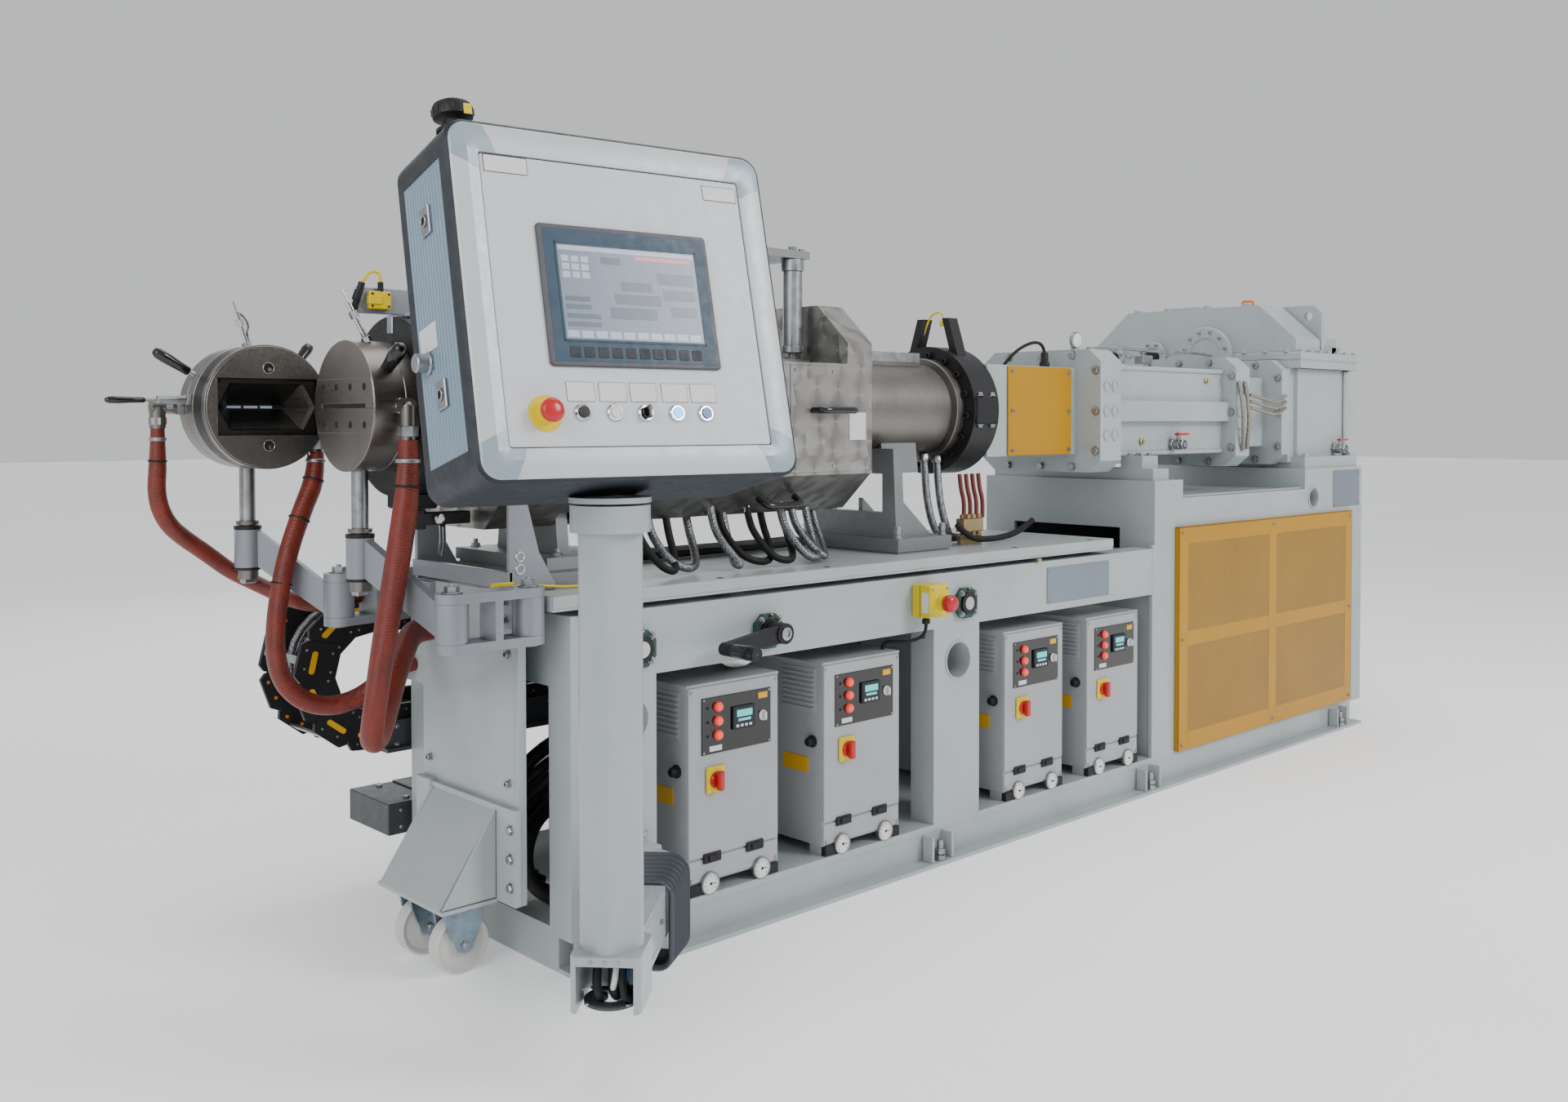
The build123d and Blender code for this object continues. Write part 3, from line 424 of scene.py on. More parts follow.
class G:
    """Collects primitives of one finish on one body into one mesh."""

    def __init__(s, name, mat, body, M=None, slot=None):
        s.name, s.mat, s.body, s.M, s.slot = name, mat, body, M, slot
        s.v, s.f = [], []

    def add(s, vs, fs):
        k = len(s.v)
        s.v.extend(Vector(p) for p in vs)
        s.f.extend([[i + k for i in f] for f in fs])
        return s

    def box(s, x0, x1, y0, y1, z0, z1, c=1.5):
        x0, x1 = min(x0, x1), max(x0, x1)
        y0, y1 = min(y0, y1), max(y0, y1)
        z0, z1 = min(z0, z1), max(z0, z1)
        c = min(c, (x1 - x0) * 0.45, (y1 - y0) * 0.45, (z1 - z0) * 0.45)
        m = ((x0 + x1) / 2, (y0 + y1) / 2, (z0 + z1) / 2)
        h = ((x1 - x0) / 2, (y1 - y0) / 2, (z1 - z0) / 2)
        vs, idx = [], {}
        for sx in (-1, 1):
            for sy in (-1, 1):
                for sz in (-1, 1):
                    for a in range(3):
                        q = [h[0] - c, h[1] - c, h[2] - c]
                        q[a] = h[a]
                        idx[(sx, sy, sz, a)] = len(vs)
                        vs.append((m[0] + sx * q[0], m[1] + sy * q[1], m[2] + sz * q[2]))
        fs = []
        for a in range(3):
            b1, b2 = (a + 1) % 3, (a + 2) % 3
            for sg in (-1, 1):
                def key(i, j):
                    t = [0, 0, 0]
                    t[a], t[b1], t[b2] = sg, i, j
                    return idx[(t[0], t[1], t[2], a)]
                loop = [key(-1, -1), key(1, -1), key(1, 1), key(-1, 1)]
                fs.append(loop if sg > 0 else loop[::-1])
        for a in range(3):
            b1, b2 = (a + 1) % 3, (a + 2) % 3
            for i in (-1, 1):
                for j in (-1, 1):
                    def k2(t_a, face):
                        t = [0, 0, 0]
                        t[a], t[b1], t[b2] = t_a, i, j
                        return idx[(t[0], t[1], t[2], face)]
                    loop = [k2(-1, b1), k2(1, b1), k2(1, b2), k2(-1, b2)]
                    fs.append(loop if i * j < 0 else loop[::-1])
        for sx in (-1, 1):
            for sy in (-1, 1):
                for sz in (-1, 1):
                    loop = [idx[(sx, sy, sz, a)] for a in range(3)]
                    fs.append(loop if sx * sy * sz > 0 else loop[::-1])
        return s.add(vs, fs)

    def lathe(s, p, n, prof, seg=32, a0=0.0, a1=2 * math.pi):
        """prof is [(radius, distance along n)], first and last capped."""
        u, w, n = basis(n)
        p = Vector(p)
        full = abs(a1 - a0 - 2 * math.pi) < 1e-6
        cnt = seg if full else seg + 1
        vs, rings = [], []
        for r, h in prof:
            if r < 1e-6:
                rings.append([len(vs)])
                vs.append(p + n * h)
            else:
                ring = []
                for i in range(cnt):
                    t = a0 + (a1 - a0) * i / seg
                    ring.append(len(vs))
                    vs.append(p + n * h + (u * math.cos(t) + w * math.sin(t)) * r)
                rings.append(ring)
        fs = []
        for A, B in zip(rings, rings[1:]):
            if len(A) == 1 and len(B) == 1:
                continue
            for i in range(seg):
                j = (i + 1) % cnt
                if len(A) == 1:
                    fs.append([A[0], B[j], B[i]])
                elif len(B) == 1:
                    fs.append([A[i], A[j], B[0]])
                else:
                    fs.append([A[i], A[j], B[j], B[i]])
        if full:
            if len(rings[0]) > 1 and prof[0] != prof[-1]:
                fs.append(rings[0][::-1])
            if len(rings[-1]) > 1 and prof[0] != prof[-1]:
                fs.append(rings[-1][:])
        return s.add(vs, fs)

    def cyl(s, p, n, r, h, seg=28, c=1.0):
        c = min(c, r * 0.4, abs(h) * 0.4)
        return s.lathe(p, n, [(r - c, 0), (r, c), (r, h - c), (r - c, h)], seg)

    def ring(s, p, n, r0, r1, h, seg=36, c=0.8):
        pr = [(r0 + c, 0), (r1 - c, 0), (r1, c), (r1, h - c), (r1 - c, h), (r0 + c, h), (r0, h - c), (r0, c), (r0 + c, 0)]
        return s.lathe(p, n, pr, seg)

    def hexn(s, p, n, r, h, hole=0.0):
        c = min(1.2, h * 0.2)
        s.lathe(p, n, [(r, 0), (r, h - c), (r - c * 1.6, h), (r * 0.55, h)], 6)
        if hole:
            s.lathe(Vector(p) + Vector(n).normalized() * h, n, [(hole, 0), (hole, hole * 0.8), (hole * 0.8, hole)], 14)
        return s

    def bolt(s, p, n, d=10.0, hexa=True, washer=True, stud=0.0):
        n = Vector(n).normalized()
        p = Vector(p)
        if washer:
            s.cyl(p, n, d * 1.12, d * 0.18, 20, 0.3)
            p = p + n * d * 0.18
        if hexa:
            s.lathe(p, n, [(d * 0.92, 0), (d * 0.92, d * 0.55), (d * 0.78, d * 0.66)], 6)
            if stud:
                s.cyl(p + n * d * 0.6, n, d * 0.5, stud, 14, 0.8)
        else:
            r, h, q = d * 0.76, d * 0.95, d * 0.42
            s.lathe(p, n, [(r, 0), (r, h - 1), (r - 1, h), (q, h), (q * 0.98, h - d * 0.45), (0, h - d * 0.45)], 18)
        return s

    def prism(s, pts, axis, a0, a1, c=1.5):
        """pts are the two other coordinates in order, swept along axis from a0 to a1, with a bevel c."""
        ar = sum(p[0] * q[1] - q[0] * p[1] for p, q in zip(pts, pts[1:] + pts[:1]))
        pts = list(pts) if ar > 0 else list(pts)[::-1]
        N = len(pts)
        ins = []
        for i in range(N):
            p0, p1, p2 = pts[i - 1], pts[i], pts[(i + 1) % N]
            e1 = Vector((p1[0] - p0[0], p1[1] - p0[1])).normalized()
            e2 = Vector((p2[0] - p1[0], p2[1] - p1[1])).normalized()
            n1, n2 = Vector((-e1.y, e1.x)), Vector((-e2.y, e2.x))
            b = n1 + n2
            k = c / max(0.35, b.dot(n1)) if b.length > 1e-6 else 0
            ins.append((p1[0] + b.x * k, p1[1] + b.y * k))

        def mk(p, a):
            return {"X": (a, p[0], p[1]), "Y": (p[0], a, p[1]), "Z": (p[0], p[1], a)}[axis]
        lo, hi = min(a0, a1), max(a0, a1)
        vs = [mk(p, lo) for p in ins] + [mk(p, lo + c) for p in pts] + [mk(p, hi - c) for p in pts] + [mk(p, hi) for p in ins]
        fs = []
        flip = axis == "Y"
        for L in range(3):
            for i in range(N):
                j = (i + 1) % N
                q = [L * N + i, L * N + j, (L + 1) * N + j, (L + 1) * N + i]
                fs.append(q[::-1] if flip else q)
        b0, b1 = list(range(N))[::-1], [3 * N + i for i in range(N)]
        fs.append(b0[::-1] if flip else b0)
        fs.append(b1[::-1] if flip else b1)
        return s.add(vs, fs)

    def tube(s, pts, r, seg=12, caps=True, rf=None):
        """Tube along pts; rf(t, angle) scales the radius."""
        pts = [Vector(p) for p in pts]
        N = len(pts)
        t0 = (pts[1] - pts[0]).normalized()
        u, w, _ = basis(t0)
        vs, rings = [], []
        for i, p in enumerate(pts):
            t = (pts[min(i + 1, N - 1)] - pts[max(i - 1, 0)]).normalized()
            u = (u - t * u.dot(t)).normalized()
            w = t.cross(u)
            ring = []
            for j in range(seg):
                a = 2 * math.pi * j / seg
                k = rf(i / (N - 1), a) if rf else 1.0
                ring.append(len(vs))
                vs.append(p + (u * math.cos(a) + w * math.sin(a)) * r * k)
            rings.append(ring)
        fs = []
        for A, B in zip(rings, rings[1:]):
            for j in range(seg):
                k = (j + 1) % seg
                fs.append([A[j], A[k], B[k], B[j]])
        if caps:
            fs.append(rings[0][::-1])
            fs.append(rings[-1][:])
        return s.add(vs, fs)

    def done(s, sharp=32):
        me = bpy.data.meshes.new(s.name)
        M = s.M
        me.from_pydata([to_row(M @ p if M else p) for p in s.v], [], s.f)
        me.update()
        bm = bmesh.new()
        bm.from_mesh(me)
        bmesh.ops.remove_doubles(bm, verts=bm.verts, dist=2e-6)
        bmesh.ops.recalc_face_normals(bm, faces=bm.faces)
        bm.to_mesh(me)
        bm.free()
        me.shade_smooth()
        me.set_sharp_from_angle(angle=math.radians(sharp))
        me.materials.append(s.mat)
        o = bpy.data.objects.new(s.name, me)
        bpy.context.scene.collection.objects.link(o)
        if s.body:
            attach(o, s.body)
        return o


def smooth_path(ctrl, n=48):
    """Points along the clamped quadratic NURBS through ctrl, in working millimetres."""
    cu = bpy.data.curves.new("route", "CURVE")
    cu.dimensions = "3D"
    sp = cu.splines.new("NURBS")
    sp.points.add(len(ctrl) - 1)
    for q, p in zip(sp.points, ctrl):
        r = to_row(p)
        q.co = (r.x, r.y, r.z, 1)
    sp.order_u = 3
    sp.use_endpoint_u = True
    sp.resolution_u = max(4, n // max(1, len(ctrl) - 2))
    ob = bpy.data.objects.new("route", cu)
    bpy.context.scene.collection.objects.link(ob)
    me = bpy.data.meshes.new_from_object(ob.evaluated_get(bpy.context.evaluated_depsgraph_get()))
    row = [v.co.copy() for v in me.vertices]
    bpy.data.objects.remove(ob)
    bpy.data.meshes.remove(me)
    return [Vector((v.x * 1000 + XC, v.y * 1000 + YC, v.z * 1000)) for v in row]


def plen(pts):
    return sum((b - a).length for a, b in zip(pts, pts[1:]))


# hoses: the same routes as the model's tubes ---------------------------------
HA = [(-564, 700, 1138), (-564, 700, 1068), (-568, 706, 992), (-543, 713, 934), (-500, 722, 896), (-452, 732, 862),
      (-400, 738, 820), (-342, 712, 784), (-296, 678, 754), (-252, 642, 739), (-210, 606, 746), (-168, 584, 760)]
HB = [(-262, 604, 1086), (-262, 604, 1030), (-296, 598, 960), (-330, 592, 872), (-356, 587, 772), (-368, 582, 672),
      (-359, 576, 595), (-320, 569, 545), (-262, 560, 522), (-203, 547, 530), (-154, 532, 562), (-112, 523, 600), (-73, 523, 600)]
HC = [(-282, 142, 1116), (-282, 142, 1024), (-298, 142, 924), (-314, 145, 826), (-330, 148, 731), (-345, 150, 640),
      (-355, 153, 575), (-350, 172, 528), (-322, 205, 522), (-286, 240, 560), (-240, 290, 618),
      (-190, 346, 660), (-148, 400, 684), (-112, 432, 689), (-73, 432, 689)]
SC = [(1062, -32, 634), (1062, -32, 616), (1054, -25, 600), (1040, -8, 590), (1018, 14, 586), (998, 36, 588), (984, 48, 582),
      (984, 48, 566)]


def hose(name, ctrl, r, node, bodies, ex, seed, flat=0.0, start=None):
    pts = smooth_path(ctrl, 110)
    rnd = random.Random(seed)
    ph = [rnd.uniform(0, 6.28) for _ in range(6)]
    L = plen(pts)

    def rf(t, a):
        neck = 0.80 + 0.20 * min(1.0, min(t, 1 - t) * 14)
        wr = 0.035 * math.sin(2 * a + ph[0] + 9 * t) + 0.03 * math.sin(3 * a + ph[1] - 17 * t) + 0.02 * math.sin(L / 40 * t + ph[2] + a)
        return neck * (1 + flat * math.cos(2 * a + ph[3]) + wr)
    g = G(name, HOSE, None)
    g.tube(pts, r, 22, True, rf)
    o = g.done(60)
    if start:
        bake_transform(o)
    else:
        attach(o, bodies[0])
    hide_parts(node)
    return pts


pa = hose("sleeved_hose_a", HA, 18, "hose_a", ("far_carrier",), None, 3)
pb = hose("sleeved_hose_b", HB, 22, "hose_b", ("far_carrier", "carriage"), None, 5, 0.05, start=(-330, 570, 700))
pc = hose("sleeved_hose_c", HC, 26, "hose_c", ("near_carrier", "carriage"), None, 9, 0.10, start=(-340, 170, 640))
ps = smooth_path(SC, 40)
g = G("stop_cable", RUBBER, "base")
g.tube(ps, 4.5, 12)
o = g.done(60)
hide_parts("stop_box_cable")

# hose clamps and ties
ties = {"far_carrier": [(pa, 18, (0.02, 0.06)), (pb, 22, (0.02, 0.06, 0.16, 0.30))], "near_carrier": [(pc, 26, (0.02, 0.05))]}
gz = {b: G("hose_clamps_" + b, ZINC, b) for b in ties}
gk = {b: G("hose_ties_" + b, RUBBER, b) for b in ties}
for b, lst in ties.items():
    for pts, r, ts in lst:
        for k, t in enumerate(ts):
            i = int(t * (len(pts) - 1))
            d = (pts[min(i + 1, len(pts) - 1)] - pts[max(0, i - 1)]).normalized()
            gg = gz[b] if k == 0 else gk[b]
            gg.ring(pts[i] - d * 4, d, r * 0.80, r * (1.07 if k else 0.98), 8 if k == 0 else 4, 26)
            if k == 0:
                u, w, _ = basis(d)
                gg.cyl(pts[i] + u * r * 0.95 - w * 8, w, 4, 16, 10)
for q in list(gz.values()) + list(gk.values()):
    if q.v:
        q.done()


# panel ----------------------------------------------------------------------
def rrect(x0, x1, z0, z1, r, n=8):
    pts = []
    for cx_, cz_, a0 in ((x1 - r, z0 + r, -90), (x1 - r, z1 - r, 0), (x0 + r, z1 - r, 90), (x0 + r, z0 + r, 180)):
        for i in range(n + 1):
            a = math.radians(a0 + 90 * i / n)
            pts.append((cx_ + r * math.cos(a), cz_ + r * math.sin(a)))
    return pts


def loft(g, loops, cap0=True, cap1=True, closed=True):
    """loops are lists of 3-D points with equal counts."""
    N = len(loops[0])
    vs = [p for l in loops for p in l]
    fs = []
    for L in range(len(loops) - 1):
        for i in range(N if closed else N - 1):
            j = (i + 1) % N
            fs.append([L * N + i, L * N + j, (L + 1) * N + j, (L + 1) * N + i])
    if cap0:
        fs.append(list(range(N)))
    if cap1:
        fs.append([(len(loops) - 1) * N + i for i in range(N)])
    g.add(vs, fs)


E = (-140.0, 475.0, -190.0, 415.0)
g = G("panel_profile", ALUB, "panel_head", PNL)
loops = []
y = 18.0
while y < 196:
    for dy, ins in ((0, 0), (7.5, 0), (8.5, 1.6), (11, 1.6), (12, 0)):
        loops.append([(px, y + dy, pz) for px, pz in rrect(E[0] + ins, E[1] - ins, E[2] + ins, E[3] - ins, 36)])
    y += 12.0
loft(g, loops)
o = g.done(20)
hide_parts("panel_enclosure")
g = G("panel_trims", SLATE, "panel_head", PNL)
for y0, y1, d0 in ((0, 32, 1.5), (186, 214, 1.5)):
    loft(g, [[(px, yy, pz) for px, pz in rrect(E[0] + i, E[1] - i, E[2] + i, E[3] - i, 36)]
             for yy, i in ((y0, 4), (y0 + 4, -0.8), (y1 - 2, -0.8), (y1, 2))])
# slate sleeves round the four corners of the ribbed body, and the underside
for sx_, sz_ in ((-1, -1), (-1, 1), (1, -1), (1, 1)):
    xe, ze = (E[1] if sx_ > 0 else E[0]), (E[3] if sz_ > 0 else E[2])
    arc = [(xe + sx_ * 0.9, ze - sz_ * 58)]
    for i in range(9):
        t = math.radians(90.0 * i / 8)
        arc.append((xe - sx_ * 36 + sx_ * 36.9 * math.cos(t), ze - sz_ * 36 + sz_ * 36.9 * math.sin(t)))
    arc.append((xe - sx_ * 58, ze + sz_ * 0.9))
    vs = [(q[0], yy_, q[1]) for yy_ in (28, 190) for q in arc]
    n_ = len(arc)
    g.add(vs, [[i, i + 1, n_ + i + 1, n_ + i] for i in range(n_ - 1)])
g.add([(E[0] + 50, 28, E[2] - 0.7), (E[1] - 50, 28, E[2] - 0.7), (E[1] - 50, 190, E[2] - 0.7), (E[0] + 50, 190, E[2] - 0.7)], [[0, 1, 2, 3]])
g.done(30)
# light frame of the door with a bevel, and corner pieces
inner = (-86.0, 418.0, -134.0, 358.0)


def frame_ring(y_of, lo, li, ri):
    a = rrect(E[0] + lo, E[1] - lo, E[2] + lo, E[3] - lo, 34)
    return [(p[0], y_of, p[1]) for p in a]


g = G("panel_frame", FRAMEG, "panel_head", PNL)
n = 8
o1 = rrect(E[0] + 5, E[1] - 5, E[2] + 5, E[3] - 5, 32, n)
o2 = rrect(E[0] + 8, E[1] - 8, E[2] + 8, E[3] - 8, 30, n)
o3 = rrect(inner[0] - 22, inner[1] + 22, inner[2] - 22, inner[3] + 22, 16, n)
o4 = rrect(inner[0] - 2, inner[1] + 2, inner[2] - 2, inner[3] + 2, 5, n)
lo = [[(p[0], 0, p[1]) for p in o1], [(p[0], -3, p[1]) for p in o2], [(p[0], -9, p[1]) for p in o3], [(p[0], -5, p[1]) for p in o4],
      [(p[0], 2, p[1]) for p in o4]]
loft(g, lo, False, False)
g.done(24)
g = G("panel_corners", CAPG, "panel_head", PNL)
k = 0.5
for ci in range(4):
    idx = list(range(ci * (n + 1), (ci + 1) * (n + 1)))
    sx = 1 if ci in (0, 1) else -1
    sz = -1 if ci in (0, 3) else 1
    rows = []
    for lp, yy in zip(lo, (0, -3, -9, -5, 2)):
        rows.append([Vector((lp[i][0], yy - k if yy < 1 else yy, lp[i][2])) for i in idx])
    ext = 26.0
    rows2 = []
    for r in rows:
        a, b = r[0].copy(), r[-1].copy()
        if ci in (0, 2):
            a.x -= sx * ext * (1 if ci == 0 else 1)
            b.z -= sz * ext
        else:
            a.z -= sz * ext
            b.x -= sx * ext
        rows2.append([a] + r + [b])
    loft(g, rows2[:4], False, False, closed=False)
g.done(24)
g = G("panel_door", DOOR, "panel_head", PNL)
loft(g, [[(p[0], yy, p[1]) for p in rrect(inner[0] + i, inner[1] - i, inner[2] + i, inner[3] - i, 4, 3)] for yy, i in ((3, 0), (-2, 0), (-3, 1))])
g.done(30)
# touch panel
g = G("touch_bezel", RIMG, "panel_head", PNL)
loft(g, [[(p[0], yy, p[1]) for p in rrect(0 + i, 330 - i, 0 + i, 245 - i, 7, 4)] for yy, i in ((-2, 0), (-7, 0), (-9, 2))])
o = g.done(30)
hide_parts("panel_screen")
g = G("touch_glass", BEZEL, "panel_head", PNL)
g.box(9, 321, -9.5, -8.6, 8, 237, 0.3)
g.done()
g = G("touch_rim", BEZEL, "panel_head", PNL)
for a in ((28, 304, 210, 214), (28, 304, 42, 46), (28, 32, 42, 214), (300, 304, 42, 214)):
    g.box(a[0], a[1], -10.6, -9.2, a[2], a[3], 0.3)
g.done()
g = G("touch_screen", SCREEN, "panel_head", PNL)
g.box(32, 300, -10.0, -9.0, 46, 210, 0.2)
g.done()
g = G("screen_bars", SCRL, "panel_head", PNL)
g.box(34, 298, -10.3, -9.6, 200, 208, 0.1)
for i in range(10):
    g.box(35 + i * 26.3, 57 + i * 26.3, -10.3, -9.6, 49, 61, 0.1)
for i in range(3):
    for j in range(3):
        g.box(38 + i * 18, 52 + i * 18, -10.3, -9.6, 152 + j * 14, 163 + j * 14, 0.1)
g.done()
g = G("screen_blocks", SCRB, "panel_head", PNL)
for q in ((38, 100, 68, 76), (38, 100, 82, 90), (38, 84, 98, 106), (38, 84, 112, 120), (112, 150, 180, 192), (220, 292, 150, 170),
          (228, 292, 122, 140), (240, 292, 92, 110), (120, 210, 84, 104), (132, 222, 110, 128), (146, 206, 134, 150)):
    g.box(q[0], q[1], -10.3, -9.6, q[2], q[3], 0.1)
g.done()
g = G("screen_alarm", SCRR, "panel_head", PNL)
g.box(180, 290, -10.4, -9.7, 190, 198, 0.1)
g.done()
g = G("touch_keys", SLATE, "panel_head", PNL)
for i in range(10):
    g.box(36 + i * 26.2, 55 + i * 26.2, -10.6, -9.2, 15, 33, 0.6)
g.done()
# push buttons
g = G("button_rings", CHROME, "panel_head", PNL)
g2 = G("button_black", GRIP, "panel_head", PNL)
for i, x in enumerate((49.5, 109.0, 167.5, 229.0, 287.0)):
    z = -77.0 - i * 0.4
    g.lathe((x, -3, z), (0, -1, 0), [(15, 0), (15, 3), (13, 5.5), (11, 5.5), (10.6, 4), (0, 4)], 36)
    if i == 0:
        g2.cyl((x, -7, z), (0, -1, 0), 9.8, 3.4, 28, 0.8)
    if i == 2:
        g2.cyl((x, -7, z), (0, -1, 0), 9.8, 6, 28, 1)
        g2.box(x - 3.4, x + 3.4, -24, -12, z - 11, z + 11, 2)
g.done()
g2.done()
g = G("button_grey", LABEL, "panel_head", PNL)
g.cyl((109, -7, -77.4), (0, -1, 0), 9.8, 3.2, 28, 0.8)
g.box(166.6, 168.4, -24.6, -23.6, -87, -78, 0.3)
g.done()
g = G("button_lit_blue", BLUEL, "panel_head", PNL)
g.cyl((229, -7, -78.2), (0, -1, 0), 9.8, 3.4, 28, 0.8)
g.done()
g = G("button_blue", BLUE, "panel_head", PNL)
g.cyl((287, -7, -78.6), (0, -1, 0), 9.8, 3.4, 28, 0.8)
g.done()
g = G("stop_collar", YELP, "panel_head", PNL)
g.lathe((-17.7, -3, -79), (0, -1, 0), [(30, 0), (30, 2), (28, 3), (19, 3), (18, 12), (15, 14)], 44)
g.done()
g = G("stop_mushroom", RED, "panel_head", PNL)
g.lathe((-17.7, -15, -79), (0, -1, 0), [(12, 0), (12, 6), (19, 9), (20, 13), (20, 17), (17, 21), (9, 23.4), (0, 24)], 44)
g.done(50)
# dark grey rims round the label plates: partly a dark border, partly painted shadow at the plates' edges
g = G("panel_plate_outlines_and_shadow", DGREY, "panel_head", PNL)
for x in (49.5, 109.0, 167.5, 229.0, 287.0):
    g.box(x - 25.8, x + 25.8, -3.5, -2.6, -58.8, -25.2, 0.2)
g.box(-80.2, -1.8, -3.6, -2.6, 326.8, 357.2, 0.2)
g.box(340.8, 413.2, -3.6, -2.6, 318.8, 347.2, 0.2)
g.done()
g = G("panel_plates", LABEL, "panel_head", PNL)
for x in (49.5, 109.0, 167.5, 229.0, 287.0):
    g.box(x - 25, x + 25, -4, -2.6, -58, -26, 0.3)
g.box(-79, -3, -4.2, -2.6, 328, 356, 0.4)
g.box(342, 412, -4.2, -2.6, 320, 346, 0.4)
g.box(-141.6, -139.6, 108, 178, 60, 104, 0.3)
g.done()
g = G("panel_locks", ZINC, "panel_head", PNL)
for yy, zz in ((104, 273), (106, -22)):
    g.box(-145, -139, yy - 19, yy + 19, zz - 24, zz + 24, 1.6)
    g.ring((-145, yy, zz), (-1, 0, 0), 7, 11, 3, 24)
g.lathe((-140, 150, 42), (-1, 0, 0), [(19, 0), (19, 4), (16.5, 6), (16, 24), (14.5, 26), (0, 26)], 36)
g.done()
# dark discs and slots on the lock faces: painted shade in the keyways
g = G("panel_lock_slot_shade", DARK, "panel_head", PNL)
for yy, zz in ((104, 273), (106, -22)):
    g.cyl((-145, yy, zz), (-1, 0, 0), 6.6, 1, 20, 0.2)
    g.box(-147, -146, yy - 2, yy + 2, zz - 6, zz + 6, 0.2)
g.done()
# hinge plates and pins on the right side
g = G("panel_hinges", ZINC, "panel_head", PNL)
for zz in (-60, 110, 290):
    g.box(474, 479, 60, 100, zz - 20, zz + 20, 1.2)
    g.cyl((478, 56, zz - 22), (0, 0, 1), 5, 44, 14)
g.done()
g = G("beacon_horn", BLACKP, "panel_head", PNL)
g.lathe((-95, 60, 415), (0, 0, 1), [(30, 0), (30, 6), (21, 9), (20, 20), (24, 24), (33, 27), (34, 31), (34, 44), (31, 50), (16, 58), (0, 60)], 40)
for i in range(16):
    a = i * math.pi / 8
    g.box(-95 + 33 * math.cos(a) - 2, -95 + 33 * math.cos(a) + 2, 60 + 33 * math.sin(a) - 2, 60 + 33 * math.sin(a) + 2, 415 + 31, 415 + 43, 0.5)
o = g.done()
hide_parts("panel_beacon")
g = G("beacon_tag", YELP, "panel_head", PNL)
g.box(-90, -76, 25, 27, 438, 456, 0.3)
g.done()


# post, collars, foot and boot ------------------------------------------------
PPX, PPY = -190.0, -405.0
g = G("post_swivel_ring", POST, "panel_head")
g.ring((PPX, PPY, 1013), (0, 0, 1), 40, 72, 10, 44)
g.done()
AV = Vector((0.741, 0.671, 0))      # from the post toward the pivot
NV = Vector((0.671, -0.741, 0))


def arm_pt(s_, w_, z_):
    return Vector((PPX, PPY, 0)) + AV * s_ + NV * w_ + Vector((0, 0, z_))


g = G("foot_cables", RUBBER, "panel_support")
for i, (s0, w0, r) in enumerate(((-30, -22, 8), (-20, 4, 9), (-34, 24, 7), (0, -30, 6), (6, 18, 7))):
    g.tube(smooth_path([arm_pt(s0 + 20, w0, 221), arm_pt(s0 + 8, w0, 196), arm_pt(s0 - 8, w0 + 4, 172), arm_pt(s0 + 4, w0 + 8, 152), arm_pt(s0 + 22, w0 + 10, 150)], 16), r, 12)
g.done(60)
g = G("foot_cable_blue", BLUE, "panel_support")
g.tube(smooth_path([arm_pt(-6, 34, 221), arm_pt(-22, 32, 196), arm_pt(-26, 26, 176), arm_pt(-6, 18, 158)], 16), 4.5, 10)
g.done(60)
g = G("foot_cable_grey", LABEL, "panel_support")
g.tube(smooth_path([arm_pt(-12, 12, 221), arm_pt(-34, 14, 200), arm_pt(-36, 10, 176), arm_pt(-12, 2, 158)], 16), 5.5, 10)
g.done(60)
g = G("foot_plate", DGREY, "panel_support")
g.lathe((PPX, PPY, 141), (0, 0, 1), [(49, 0), (49, 5), (46, 7), (26, 7), (26, 0), (49, 0)], 40)
g.done()
g = G("foot_screws", ZINC, "panel_support")
for s_, w_ in ((-38, -36), (-38, 36), (30, -40), (30, 40)):
    g.cyl(arm_pt(s_, w_, 147), (0, 0, 1), 5, 4, 14)
for w_ in (-24, 0, 24):
    g.cyl(arm_pt(-62, w_, 230), -AV, 3.4, 1.4, 12, 0.3)
g.done()
g = G("foot_lip", POST, "panel_support")
for w_ in (-56, 56):
    g.lathe(arm_pt(0, w_, 141), (0, 0, 1), [(0, 0), (6, 0), (6, 60), (4, 64), (0, 64)], 12)
g.done()
g = G("arm_beads", POST, "panel_support")
for w_ in (-1, 1):
    for z_ in (150, 226):
        g.tube([arm_pt(66, w_ * 40.5, z_), arm_pt(300, w_ * 40.5, z_)], 2.6, 8)
g.tube([arm_pt(66, 14, 239.6), arm_pt(300, 14, 239.6)], 2.0, 8)
g.tube([arm_pt(66, -14, 239.6), arm_pt(300, -14, 239.6)], 2.0, 8)
g.done(60)
PVX, PVY = 128.0, -117.0
AL = math.hypot(PVX - PPX, PVY - PPY)
BOOT = paint("boot_rubber", (0.066, 0.076, 0.092), rough=0.36, bump=0.08, bscale=400, dirt=0.06)
# near-black paint for the inside of the boot: painted shade
BOOT_SHADE = paint("boot_inside_painted_shade", (0.006, 0.006, 0.007), rough=0.7, dirt=0.0)


def boot_loop(s_, w_, z0, z1, r):
    r = min(r, w_ - 1, (z1 - z0) / 2 - 1)
    return [arm_pt(AL - s_, q[0], q[1]) for q in rrect(-w_, w_, z0, z1, r, 7)]


